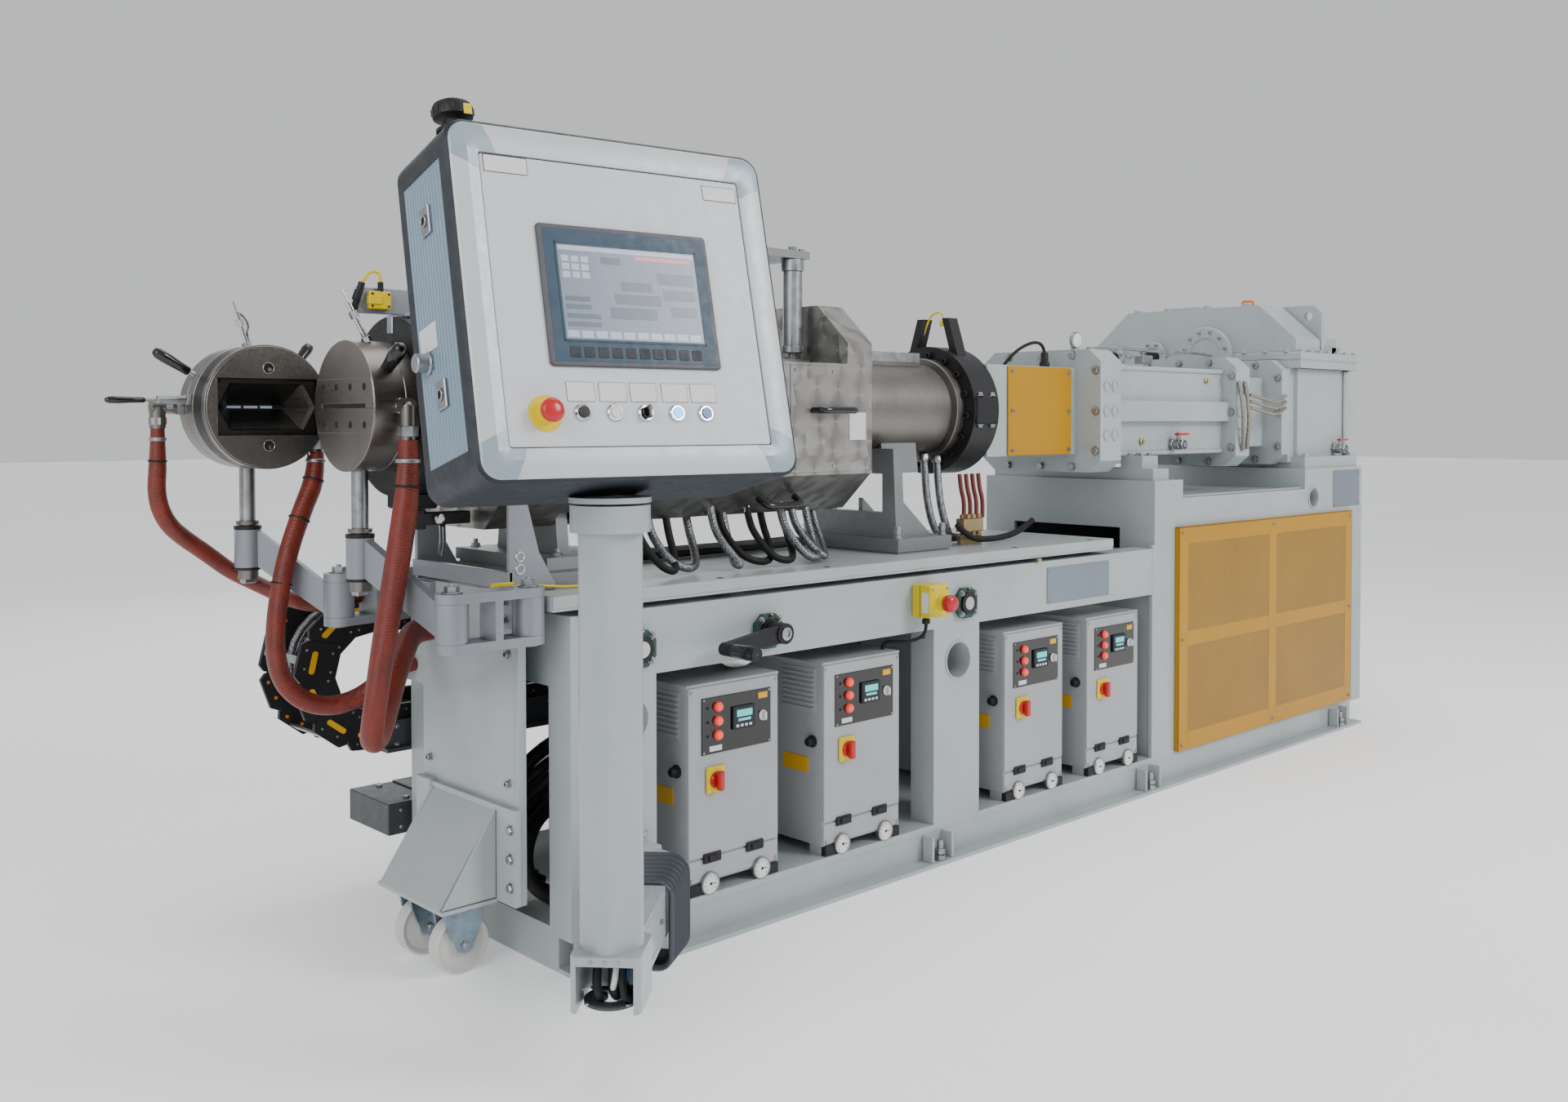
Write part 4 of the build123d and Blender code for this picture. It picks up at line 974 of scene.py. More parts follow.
g = G("boot_pleats", BOOT, "panel_support")
lp = [boot_loop(118, 46, 80, 240.5, 18), boot_loop(123, 48, 77, 242, 20), boot_loop(125, 51, 73, 244, 24), boot_loop(123, 55, 69, 246, 28),
      boot_loop(117, 57, 67, 248, 32)]
for i in range(7):
    sc = 113 - i * 8.2
    w_, z0, z1 = 60 + i * 3.4, 64 + i * 3.0, 253 + i * 5.6
    lp += [boot_loop(sc, w_ - 9, z0 + 8, z1 - 9.5, 32), boot_loop(sc - 1.6, w_ - 1.4, z0 + 1.2, z1 - 1.4, 38), boot_loop(sc - 3.4, w_, z0, z1, 40),
           boot_loop(sc - 5.6, w_ - 1.4, z0 + 1.2, z1 - 1.4, 38)]
lp += [boot_loop(55, 74, 88, 280, 34)]
loft(g, lp, False, False)
o = g.done(50)
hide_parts("arm_bellows")
# lining inside the boot's mouth in near-black: painted shade
g = G("boot_lining_shade", BOOT_SHADE, "panel_support")
loft(g, [boot_loop(119.5, 49.2, 75.8, 243.2, 20), boot_loop(100, 48, 78, 242, 20), boot_loop(62, 50, 84, 244, 26), boot_loop(55, 73.5, 88.5, 279.5, 33)], False, False)
g.done(50)
g = G("arm_bolts", ZINC, "panel_support")
for s_ in (84, 250):
    for sg in (-1, 1):
        g.bolt(arm_pt(s_, 41 * sg, 188), NV * sg, 7, False, False)
g.done()
g = G("hinge_bracket_bolts", ZINC, "base")
for x in (78, 178):
    for z in (108, 272):
        g.bolt((x, -10, z), (0, -1, 0), 9)
g.done()

# base: plates, levelling bolts, guards ----------------------------------------
g = G("name_plate", LABELG, "base")
g.box(1618, 1926, -3, 0.0, 630, 733, 1)
g.done()
g = G("type_plate", LABELG, "base")
g.box(3394, 3611, -2.5, 0.0, 829, 967, 1)
g.done()
g = G("plate_screws", ZINC, "base")
for x0, x1, z0, z1 in ((1618, 1926, 630, 733), (3394, 3611, 829, 967)):
    for x in (x0 + 10, x1 - 10):
        for z in (z0 + 10, z1 - 10):
            g.cyl((x, -2.5, z), (0, -1, 0), 4, 2, 12, 0.4)
g.done()
g = G("levelling_bolts", ZINC, "base")
for x in (140, 1126, 2123, 3415):
    for y, sg in ((-25, -1), (697, 1)):
        g.cyl((x, y, 10), (0, 0, 1), 9, 52, 18)
        g.hexn((x, y, 10), (0, 0, 1), 17, 14)
        g.hexn((x, y, 27), (0, 0, 1), 16, 13)
g.done()
g = G("sill_weld_ribs", FRAME, "base")
for x in (140, 1126, 2123, 3415):
    for s0, s1 in ((-36, -2), (674, 708)):
        g.box(x + 34, x + 42, s0, s1, 10, 76, 1)
        g.box(x - 42, x - 34, s0, s1, 10, 76, 1)
g.done()
g = G("guard_frames", YEL, "base")
gp = G("guard_mesh", PERF, "base")
for y0, y1 in ((-16, -13), (685, 688)):
    o0, o1_ = (y0, y1)
    fx = (2298, 2352, 2884, 2936, 3468, 3521)
    fz = (93, 150, 428, 476, 758, 813)
    for i in (0, 2, 4):
        g.box(fx[i], fx[i + 1], o0, o1_, fz[0], fz[5], 1)
    for i in (0, 2, 4):
        for a, b in ((1, 2), (3, 4)):
            g.box(fx[a] - 0.5, fx[b] + 0.5, o0, o1_, fz[i], fz[i + 1], 1)
    for a, b in ((1, 2), (3, 4)):
        for c_, d_ in ((1, 2), (3, 4)):
            gp.box(fx[a] - 1, fx[b] + 1, o0 + 0.8, o1_ - 0.8, fz[c_] - 1, fz[d_] + 1, 0.1)
    for x, z0, z1 in ((2298, 93, 813), (3518, 93, 813)):
        g.box(x, x + 3, min(-16, -1) if y0 < 0 else 673, -1 if y0 < 0 else 688, z0, z1, 0.5)
    g.box(2298, 3521, -16 if y0 < 0 else 673, -1 if y0 < 0 else 688, 810, 813, 0.5)
g.done()
gp.done()
g = G("guard_screws", ZINC, "base")
for x in (2318, 2910, 3500):
    for z in (112, 452, 794):
        if x == 2910 and z == 452:
            continue
        g.bolt((x, -16, z), (0, -1, 0), 6, False)
        g.bolt((x, 688, z), (0, 1, 0), 6, False)
g.done()
g = G("sleeve_tube", FRAME, "base")
g.ring((3237, -4, 871.5), (0, 1, 0), 34.5, 41, 60, 40)
g.done()
g = G("port_sleeves", FRAME, "base")
for x in (149, 1227):
    for y in (-3, 590):
        g.ring((x, y, 517), (0, 1, 0), 47.2, 53, 86, 44)
g.done()
g = G("brass_blocks", BRASS, "base")
for x in (30, 1571):
    g.box(x - 9, x + 9, -12, 2, 755, 764, 1)
g.done()
g = G("pad_bolts", ZINC, "base")
for y in (78, 122, 485, 530):
    for x in (2222, 2268):
        g.bolt((x, y, 1041), (0, 0, 1), 10, True)
g.done()
g = G("box_seams", FRAME, "base")
g.box(2165, 2179.5, -2, 12, 94, 764, 1.5)
g.box(2343, 3173, 12, 30, 905, 912, 2)
g.done()

# temperature control units -----------------------------------------------------
TX = ((312, 585), (732, 1005), (1434, 1707), (1826, 2099))
door = G("unit_doors", CAB, "base")
ctl = G("unit_control_plates", GRIP, "base")
lamp = G("unit_lamps", LAMP, "base")
lrim = G("unit_lamp_rims", RED, "base")
bez = G("unit_controllers", SLATE, "base")
dig = G("unit_digits", TEAL, "base")
sel = G("unit_selectors", LABEL, "base")
yl = G("unit_switch_plates", YELP, "base")
rd = G("unit_switch_handles", RED, "base")
hg = G("unit_hinges", BLACKP, "base")
gr = G("unit_gauge_rims", ZINC, "base")
gf = G("unit_gauge_faces", DIAL, "base")
# dark marks, gauge needles and ticks, and the painted shade between the louvre slats
gn = G("unit_dark_marks_and_louvre_shade", DARK, "base")
gri = G("unit_grilles", PERFG, "base")
tag = G("unit_tags", AMBER, "base")
conn = G("unit_outlets", RUBBER, "base")
brs = G("unit_fittings", BRASS, "base")
lid_ = G("unit_lids", CAB, "base")
lou = G("unit_louvres", CAB, "base")
for a, b in TX:
    door.box(a + 2, b - 2, 7, 12.2, 176, 560, 2)
    door.box(a + 2, b - 2, 8, 12.2, 122, 172, 2)
    lid_.box(a - 2, b + 2, 9, 562, 560, 567, 2)
    ctl.box(a + 38, a + 246, 4.5, 7.2, 406, 534, 2)
    for i in range(3):
        lrim.lathe((a + 84, 5, 511 - i * 32), (0, -1, 0), [(13, 0), (13, 3), (11, 5)], 26)
        lamp.lathe((a + 84, 1, 511 - i * 32), (0, -1, 0), [(11, 0), (11, 3), (8.5, 7), (0, 8.5)], 26)
        gn.box(a + 52, a + 58, 3.6, 4.6, 508 - i * 32, 514 - i * 32, 0.2)
    bez.box(a + 126, a + 192, -2, 5, 452, 504, 1.5)
    dig.box(a + 136, a + 182, -3, -1.5, 480, 496, 0.3)
    dig.box(a + 140, a + 178, -3, -1.5, 470, 476, 0.3)
    for i in range(4):
        sel.box(a + 134 + i * 13, a + 142 + i * 13, -3, -1.5, 457, 463, 0.3)
    sel.lathe((a + 220, 5, 472), (0, -1, 0), [(12, 0), (12, 3), (10, 4), (0, 4)], 28)
    sel.box(a + 216.5, a + 223.5, -9, 2, 462, 482, 2)
    tag.box(a + 206, a + 234, 3.4, 4.8, 512, 526, 0.3)
    sel.box(a + 60, a + 96, 3.4, 4.8, 412, 424, 0.3)
    yl.box(a + 50, a + 104, 0, 7.2, 318, 378, 3)
    rd.lathe((a + 77, 1, 348), (0, -1, 0), [(19, 0), (19, 4), (16, 8), (0, 8)], 30)
    rd.box(a + 69, a + 85, -22, -6, 326, 370, 3)
    for x in (a + 68, a + 196):
        hg.box(x - 26, x + 26, 2, 9, 162, 184, 2)
        hg.box(x - 13, x + 13, -2, 4, 166, 180, 2)
    for x in (a + 60, a + 214):
        gr.lathe((x, 8.5, 116), (0, -1, 0), [(26, 0), (26, 8), (24, 10), (22.5, 10), (22.3, 8), (0, 8)], 40)
        gf.cyl((x, 0.6, 116), (0, -1, 0), 22, 0.7, 36, 0.1)
        for k_ in range(9):
            t = math.radians(-40 + k_ * 32.5)
            gn.box(x + 17 * math.cos(t) - 0.9, x + 17 * math.cos(t) + 0.9, -0.5, 0.2, 116 + 17 * math.sin(t) - 1.6, 116 + 17 * math.sin(t) + 1.6, 0.1)
        gn.box(x - 1, x + 13, -0.8, 0.0, 115.2, 116.8, 0.1)
        gn.cyl((x, 0, 116), (0, -1, 0), 3, 1.4, 14, 0.2)
    # side louvres near the front of the head-end face, with dark strips between the slats as painted shade in the gaps
    for k_ in range(8):
        lou.box(a - 5.0, a + 1, 40, 150, 448 + k_ * 12, 454 + k_ * 12, 1.2)
        gn.box(a - 1.0, a + 0.4, 42, 148, 454.5 + k_ * 12, 459 + k_ * 12, 0.2)
    lid_.box(a - 1.6, a + 0.4, 34, 156, 440, 550, 0.6)
    tag.box(a - 1.6, a + 0.2, 60, 150, 292, 330, 0.2)
    conn.lathe((a - 1, 44, 372), (-1, 0, 0), [(15, 0), (15, 4), (11, 6), (11, 16), (8, 20), (0, 20)], 24)
    gri.box(b - 0.4, b + 1.2, 300, 520, 160, 420, 0.2)
    # back: terminal cover and hose ports
    gri.box(a + 40, b - 40, 559.6, 561.4, 300, 480, 0.2)
    for z in (150, 200, 250):
        brs.hexn((a + 60, 560, z), (0, 1, 0), 15, 12)
        conn.cyl((a + 60, 572, z), (0, 1, 0), 10, 26, 18)
    brs.hexn((b - 2, 120, 330), (1, 0, 0), 14, 14)
    conn.cyl((b + 12, 120, 330), (1, 0, 0), 9, 22, 16)
    for sx in (a + 4, b - 44):
        hg.box(sx, sx + 40, 3, 20, 95, 119, 2)
for q in (door, ctl, lamp, lrim, bez, dig, sel, yl, rd, hg, gr, gf, gn, gri, tag, conn, brs, lid_, lou):
    q.done()
g = G("unit_screws", ZINC, "base")
for a, b in TX:
    for x in (a + 10, b - 10):
        for z in (550, 130):
            g.cyl((x, 7, z), (0, -1, 0), 4, 2, 12, 0.4)
    for x in (a + 44, a + 240):
        for z in (411, 529):
            g.cyl((x, 4.6, z), (0, -1, 0), 2.6, 1.2, 10, 0.2)
g.done()

# shafts, bearings, crank and stop box -------------------------------------------
g = G("bearing_bolts", ZINC, "base")
gn_ = G("bearing_nipples", BRASS, "base")
gh = G("bearing_hubs", BLACK, "base")
for x in (170, 538, 1250):
    for y, s_ in ((-14, -1), (686, 1)):
        for dx in (-27, 27):
            for dz in (-27, 27):
                g.bolt((x + dx, y, 668 + dz), (0, s_, 0), 8, True, True, 4)
        gn_.cyl((x, y - 2 * s_, 702), (0.0, s_, 0.6), 3, 12, 10)
        gh.ring((x, y, 668), (0, s_, 0), 18, 29, 8, 30)
g.done()
gn_.done()
gh.done()
g = G("crank_grip", GRIP, "crank")
gx = 538 + 168 * math.cos(math.radians(186))
gzz = 668 + 168 * math.sin(math.radians(186))
g.lathe((gx, -66, gzz), (0, -1, 0), [(9, 0), (14.8, 4), (15.2, 30), (16.4, 60), (16.0, 82), (11, 91), (0, 92.5)], 30)
g.done(50)
g = G("crank_hub_cap", ZINC, "crank")
g.lathe((538, -70, 668), (0, -1, 0), [(15, 0), (15, 3), (9, 4), (9, 1), (0, 1)], 28)
g.done()
g = G("stop_box_front", YELP, "base")
g.prism([(1041.5, 651.5), (1114.5, 651.5), (1114.5, 733.5), (1041.5, 733.5)], "Y", -66, 0, 4)
o = g.done()
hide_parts("stop_box")
g = G("stop_box_seam", BLACKP, "base")
g.box(1041.2, 1114.8, -30, -28, 651.2, 733.8, 0.2)
g.done()
g = G("stop_box_label", LABEL, "base")
g.box(1041.0, 1041.9, -58, -36, 664, 716, 0.2)
g.done()
g = G("stop_box_collar", YELP, "base")
g.lathe((1078, -65, 690), (0, -1, 0), [(27, 0), (27, 2), (21.5, 4), (20.8, 20), (14, 22)], 36)
g.done()
g = G("stop_box_mushroom", RED, "base")
g.lathe((1078, -86, 690), (0, -1, 0), [(14, -2), (15, 2), (21.4, 5), (22.2, 10), (22.2, 20), (19, 25), (10, 28), (0, 28.6)], 40)
g.done(50)
g = G("stop_box_gland", BLACKP, "base")
g.hexn((1062, -32, 634), (0, 0, 1), 11, 12)
g.cyl((1062, -32, 646), (0, 0, 1), 8, 8, 18)
g.box(1046, 1058, -34, -30, 596, 604, 1)
g.done()
g = G("stop_box_screws", ZINC, "base")
for x in (1050, 1106):
    for z in (661, 724):
        g.cyl((x, -66, z), (0, -1, 0), 3.6, 1.6, 12, 0.3)
g.done()

# head end of the base: cabinet wall, hoses behind the opening ----------------------
g = G("end_hoses", RUBBER, "base")
rnd = random.Random(4)
for i in range(5):
    y0 = 150 + i * 40
    g.tube(smooth_path([(60 + i * 10, y0, 120 + i * 5), (10 + i * 14, y0 + 20, 150), (-2 + i * 18, y0 + 30, 230 + 10 * i), (60, y0 + 60, 300),
                        (180, y0 + 70, 320 + i * 20), (290, y0 + 70, 300 + i * 30)], 30), 13 if i % 2 else 17, 14)
g.done(60)
g = G("end_cabinet_grille", PERFG, "base")
g.box(309, 312, 280, 520, 300, 530, 1)
g.done()


# carriage ---------------------------------------------------------------------
g = G("table_bolts", ZINC, "carriage")
for x in (60, 130, 200):
    for y in (135, 473):
        g.bolt((x, y, 863) if x != 130 else (x, y, 863), (0, 0, 1), 11, True, True, 10)
for x in (1130, 1310):
    for y in (128, 480):
        g.cyl((x, y, 838), (0, 0, 1), 9, 34, 16)
        g.bolt((x, y, 838), (0, 0, 1), 13, True)
        g.hexn((x, y, 852), (0, 0, 1), 12, 11)
g.done()
g = G("table_screws", DARK, "carriage")
for x in (80, 420, 760, 1500, 1860):
    for y in (24, 583):
        g.cyl((x, y, 797.2), (0, 0, 1), 9, 1.0, 18, 0.2)
g.done()
g = G("table_edge_strip", FRAME, "carriage")
g.box(-42, 1948, -3, 0.5, 772, 797, 1.2)
g.box(-44, -41.5, 0, 607, 766, 797, 1)
g.done()
# casters
g = G("caster_forks", ZINCB, "carriage")
for wy in (208, 354):
    g.ring((-140, wy, 137), (0, 0, 1), 16, 38, 11, 36)
    for s_ in (-1, 1):
        yy = wy + s_ * 23
        g.prism([(-188, 140), (-92, 140), (-98, 108), (-122, 52), (-140, 44), (-158, 52), (-182, 108)], "Y", yy - 2.6, yy + 2.6, 1)
g.done()
g = G("caster_axle_bolts", ZINC, "carriage")
for wy in (208, 354):
    for s_ in (-1, 1):
        g.bolt((-140, wy + s_ * 26, 62.8), (0, s_, 0), 9, True)
for y in (95, 408):
    for z in (190, 250, 310):
        if y < 300:
            g.bolt((-84, y, z), (-1, 0, 0), 10)
        else:
            g.bolt((-84, y, z), (-1, 0, 0), 10)
g.done()
for i, wy in enumerate((208, 354)):
    nm = "near" if i == 0 else "far"
    g = G("caster_tread_" + nm, WHITE, "wheel_" + nm)
    g.lathe((-140, wy - 18, 62.8), (0, 1, 0), [(9, 0), (20, 0), (22, 3), (30, 5), (50, 5), (56, 1), (59, 0.3), (62.4, 4), (62.4, 32), (59, 35.7),
                                               (56, 35), (50, 31), (30, 31), (22, 33), (20, 36), (9, 36), (9, 0)], 56)
    o = g.done()
    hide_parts("caster_wheel_" + nm)
    g = G("caster_hub_" + nm, ZINC, "wheel_" + nm)
    g.ring((-140, wy - 18.2, 62.8), (0, 1, 0), 7.6, 12, 36.4, 24)
    g.done()
g = G("caster_bracket_edges", FRAME, "carriage")
for y0 in (150, 412):
    g.prism([(-208, 158), (-86, 158), (-86, 342)], "Y", y0, y0 + 8, 1)
g.box(-88, -70, 424, 486, 150, 356, 2)
g.done()

# column plates
g = G("column_plate", FRAME, "carriage")
g.box(-71.5, -69, 100, 468, 380, 690, 1)
g.done()
g = G("column_bolts", ZINC, "carriage")
for y in (120, 448):
    for z in (400, 670):
        g.bolt((-71.5, y, z), (-1, 0, 0), 9, False)
for y in (112, 136):
    g.bolt((-84, y, 780), (-1, 0, 0), 10, False)
    g.bolt((-84, y, 742), (-1, 0, 0), 10, False)
for y in (470, 500):
    g.bolt((-84, y, 780), (-1, 0, 0), 10, False)
    g.bolt((-84, y, 742), (-1, 0, 0), 10, False)
g.done()
g = G("column_gussets", CARR, "carriage")
for y0 in (104, 492):
    g.prism([(-78, 798), (34, 798), (34, 812), (-6, 880), (-34, 985), (-78, 985)], "Y", y0, y0 + 11, 1.2)
g.box(-84, -70, 104, 503, 806, 842, 1.5)
g.done()
g = G("gusset_holes", BRIGHT, "carriage")
for z in (846, 872):
    g.ring((-52, 102.4, z), (0, 1, 0), 7, 12, 2, 24)
g.done()
# swing dampers behind the head posts
g = G("damper_bodies", BLACK, "carriage")
g.box(-212, -92, 232, 262, 938, 964, 2)
g.cyl((-205, 247, 930), (0, 0, 1), 15, 40, 24)
g.done()
g = G("damper_rods", CHROME, "carriage")
g.tube([(-150, 247, 938), (-120, 300, 900), (-96, 352, 866)], 7, 16)
g.hexn((-168, 232, 951), (0, -1, 0), 12, 10)
g.done(60)

# link pins, washers and nuts
for body, pts in (("near_carrier", ((-78, 34), (-246, 40))), ("far_carrier", ((-78, 573.2), (-238, 545)))):
    g = G("pin_caps_" + body, ZINC, body)
    for x, y in pts:
        g.ring((x, y, 819), (0, 0, 1), 6, 21, 3, 30)
        g.hexn((x, y, 822), (0, 0, 1), 15, 11, 5)
        g.ring((x, y, 699), (0, 0, 1), 6, 20, 4, 30)
    g.done()
for body, (x, y) in (("near_carrier", (-305, 303.6)), ("far_carrier", (-381, 687))):
    g = G("post_collars_" + body, BLACK, body)
    g.ring((x, y, 915.5), (0, 0, 1), 16.3, 29, 8, 36)
    g.ring((x, y, 826), (0, 0, 1), 16.3, 29, 6, 36)
    g.done()
    g = G("post_nut_" + body, ZINC, body)
    g.box(x - 14, x + 14, y - 14, y + 14, 796, 822, 2.5)
    g.cyl((x, y, 934), (0, 0, 1), 16.8, 122, 30, 0.5)
    g.done()

# strainer head -----------------------------------------------------------------
SX, SY0, SY1 = -381.0, 570.0, 717.0
g = G("strainer_face", STEELF, "far_carrier")
# face plate with the window cut out: a ring of quads between the circle and the window
win = rrect(SX - 107, SX + 107, AX_Z - 61, AX_Z + 61, 8, 6)
cen = Vector((SX, AX_Z))
N = len(win)
out = []
for p in win:
    d = (Vector(p) - cen).normalized()
    out.append((SX + d.x * 131.5, AX_Z + d.y * 131.5))
out2 = []
outc = []
M2 = 96
# radial loops, so that the rim is round
ring_o = [(SX + 131.8 * math.cos(2 * math.pi * i / M2), AX_Z + 131.8 * math.sin(2 * math.pi * i / M2)) for i in range(M2)]


def ray_rect(a, hx, hz):
    c_, s_ = math.cos(a), math.sin(a)
    t = min(hx / max(1e-9, abs(c_)), hz / max(1e-9, abs(s_)))
    return SX + c_ * t, AX_Z + s_ * t


angs = [2 * math.pi * i / M2 for i in range(M2)]
ca = math.atan2(61, 107)
for t in (ca, math.pi - ca, math.pi + ca, 2 * math.pi - ca):
    angs.append(t)
angs = sorted(angs)
ring_i = [ray_rect(t, 107, 61) for t in angs]
ring_o = [(SX + 131.8 * math.cos(t), AX_Z + 131.8 * math.sin(t)) for t in angs]
ring_o2 = [(SX + 129.5 * math.cos(t), AX_Z + 129.5 * math.sin(t)) for t in angs]
loft(g, [[(p[0], SY0 + 1.0, p[1]) for p in ring_i], [(p[0], SY0 - 1.2, p[1]) for p in ring_i], [(p[0], SY0 - 1.2, p[1]) for p in ring_o2],
         [(p[0], SY0 + 1.2, p[1]) for p in ring_o]], False, False)
g.done(30)
# recessed shelf and six-sided funnel down to a narrow throat
def srow(pts, y):
    return [(SX + x, y, AX_Z + z) for x, z in pts]


rc = [(-107, 0), (-107, -61), (-78, -61), (78, -61), (107, -61), (107, 0), (107, 61), (78, 61), (-78, 61), (-107, 61)]
h0 = [(-106, 0), (-92, -26), (-79, -50), (79, -50), (92, -26), (106, 0), (92, 26), (79, 50), (-79, 50), (-92, 26)]
h1 = [(-98, 0), (-86, -24), (-74, -46), (74, -46), (86, -24), (98, 0), (86, 24), (74, 46), (-74, 46), (-86, 24)]
h2 = [(-66, 0), (-62, -3), (-58, -5), (58, -5), (62, -3), (66, 0), (62, 3), (58, 5), (-58, 5), (-62, 3)]
g = G("strainer_shelf", STEELF, "far_carrier")
loft(g, [srow(rc, SY0 + 0.8), srow(rc, SY0 + 7)], False, False)
g.done(20)
# painted shade: the recessed shelf floor and funnel take the darkened steel
g = G("strainer_shelf_floor", SHADED_STEEL, "far_carrier")
loft(g, [srow(rc, SY0 + 7), srow(h0, SY0 + 7), srow(h1, SY0 + 16)], False, False)
g.done(20)
g = G("strainer_funnel", SHADED_STEEL, "far_carrier")
loft(g, [srow(h1, SY0 + 16), srow(h2, SY0 + 64)], False, True)
g.done(12)
# glowing slits at the bottom of the funnel: painted light, in the screen's glowing material
g = G("strainer_throat_painted_light", SCRL, "far_carrier")
for x0, x1 in ((-64, -34), (-28, 2), (8, 34)):
    g.box(SX + x0, SX + x1, SY0 + 62.5, SY0 + 63.8, AX_Z - 2.6, AX_Z + 2.6, 0.3)
g.done()
g = G("strainer_band", BLACK, "far_carrier")
g.ring((SX, 591, AX_Z), (0, 1, 0), 128, 132.75, 44, 96, 0.3)
g.done()
g = G("strainer_rings", STEEL, "far_carrier")
g.ring((SX, 572, AX_Z), (0, 1, 0), 126, 133.6, 18, 96, 1.2)
g.ring((SX, 637, AX_Z), (0, 1, 0), 126, 133.6, 34, 96, 1.2)
g.ring((SX, 673, AX_Z), (0, 1, 0), 126, 133.6, 43, 96, 2.0)
g.done(40)
# dark discs in the face holes and shelf holes: painted shade inside them
g = G("strainer_hole_shade", DARK, "far_carrier")
for z in (AX_Z - 83, AX_Z + 83):
    g.cyl((SX + 1, SY0 - 1.6, z), (0, 1, 0), 10.5, 1.2, 30, 0.1)
g.cyl((SX - 101, SY0 + 6.4, AX_Z + 54), (0, 1, 0), 4.5, 1.2, 20, 0.1)
g.cyl((SX + 101, SY0 + 6.4, AX_Z + 54), (0, 1, 0), 4.5, 1.2, 20, 0.1)
g.done()
g = G("strainer_hole_rims_and_glints", BRIGHT, "far_carrier")
for z in (AX_Z - 83, AX_Z + 83):
    g.ring((SX + 1, SY0 - 2.2, z), (0, 1, 0), 10.6, 12.4, 1.6, 36, 0.4)
    # small bright disc off the centre of each hole: a painted glint
    g.lathe((SX + 3, SY0 - 1.8, z - 3), (0, -1, 0), [(4.6, 0), (4.6, 0.3), (3.4, 0.4)], 16)
g.done()


def lever(g_grip, g_rod, base, direction, L0, L1, r=9.0):
    d = Vector(direction).normalized()
    b = Vector(base)
    g_rod.cyl(b, d, r * 0.62, L0 + 8, 20, 1)
    g_grip.lathe(b + d * L0, d, [(r * 0.75, 0), (r * 0.95, 3), (r * 1.0, L1 * 0.3), (r * 1.22, L1 * 0.68), (r * 1.1, L1 * 0.9), (r * 0.6, L1 * 0.985), (0, L1)], 28)


def probe(gp_, p0, p1):
    """Melt sensor: gland, thin stem, nut, connector."""
    a_, b_ = Vector(p0), Vector(p1)
    d = (b_ - a_).normalized()
    L = (b_ - a_).length
    gp_.hexn(a_, d, 10, 12)
    gp_.cyl(a_ + d * 10, d, 5.2, L * 0.42, 18, 0.5)
    gp_.hexn(a_ + d * (L * 0.46), d, 9, L * 0.14)
    gp_.cyl(a_ + d * (L * 0.58), d, 6.0, L * 0.2, 18, 0.8)
    gp_.cyl(a_ + d * (L * 0.76), d, 3.4, L * 0.24, 14, 0.5)


gg, gr_ = G("strainer_grips", GRIP, "far_carrier"), G("strainer_lever_rods", ZINC, "far_carrier")
lever(gg, gr_, (-504, 652, 1251), (-69, -2, 41), 14, 84, 10.5)
lever(gg, gr_, (SX + 96, 662, AX_Z + 88), (0.55, 0.25, 0.62), 14, 62, 10.5)
lever(gg, gr_, (-516, 656, 1199), (-1, 0.0, -0.012), 88, 78, 6.5)
gg.done(50)
gr_.cyl((-514, 656, 1199), (-1, 0, 0), 8.5, 66, 24, 1.5)
gr_.hexn((-512, 656, 1199), (-1, 0, 0), 13, 10)
gr_.done()
g = G("strainer_fittings", ZINC, "far_carrier")
g.hexn((SX - 130, 700, AX_Z), (-1, 0, 0), 19, 18)
g.hexn((SX - 156, 700, AX_Z), (-1, 0, 0), 17, 14)
g.tube(smooth_path([(-540, 700, AX_Z), (-560, 700, AX_Z), (-565, 700, AX_Z - 10), (-564, 700, AX_Z - 34)], 20), 13, 18)
g.hexn((-564, 700, 1146), (0, 0, 1), 18, 16)
g.hexn((-262, 604, 1092), (0, 0, 1), 20, 20)
g.done()
g = G("strainer_probe", CHROME, "far_carrier")
probe(g, (-392, 650, 1314), (-424, 650, 1413))
g.tube(smooth_path([(-262, 604, 1130), (-272, 598, 1148), (-292, 590, 1140), (-300, 586, 1112), (-296, 590, 1084)], 24), 2.4, 8)
g.tube(smooth_path([(-256, 612, 1128), (-262, 600, 1156), (-284, 584, 1150), (-296, 578, 1120), (-284, 584, 1080)], 24), 2.0, 8)
g.done()
g = G("strainer_sensor_lead", BRAID, "far_carrier")
g.tube(smooth_path([(-418, 650, 1392), (-400, 652, 1384), (-386, 656, 1362), (-392, 660, 1340), (-378, 664, 1318)], 30), 2.4, 10)
g.done(60)

# die head -------------------------------------------------------------------------
DX0, DX1 = -337.0, -238.0
g = G("die_plate", STEELF, "near_carrier")
hh = 55.5
yy = []
for i in range(13):
    z = -hh + 2 * hh * i / 12
    yy.append((math.sqrt(132.9 ** 2 - z * z), z))
prof = [(AX_Y + y, AX_Z + z) for y, z in yy] + [(AX_Y - y, AX_Z + z) for y, z in reversed(yy)]
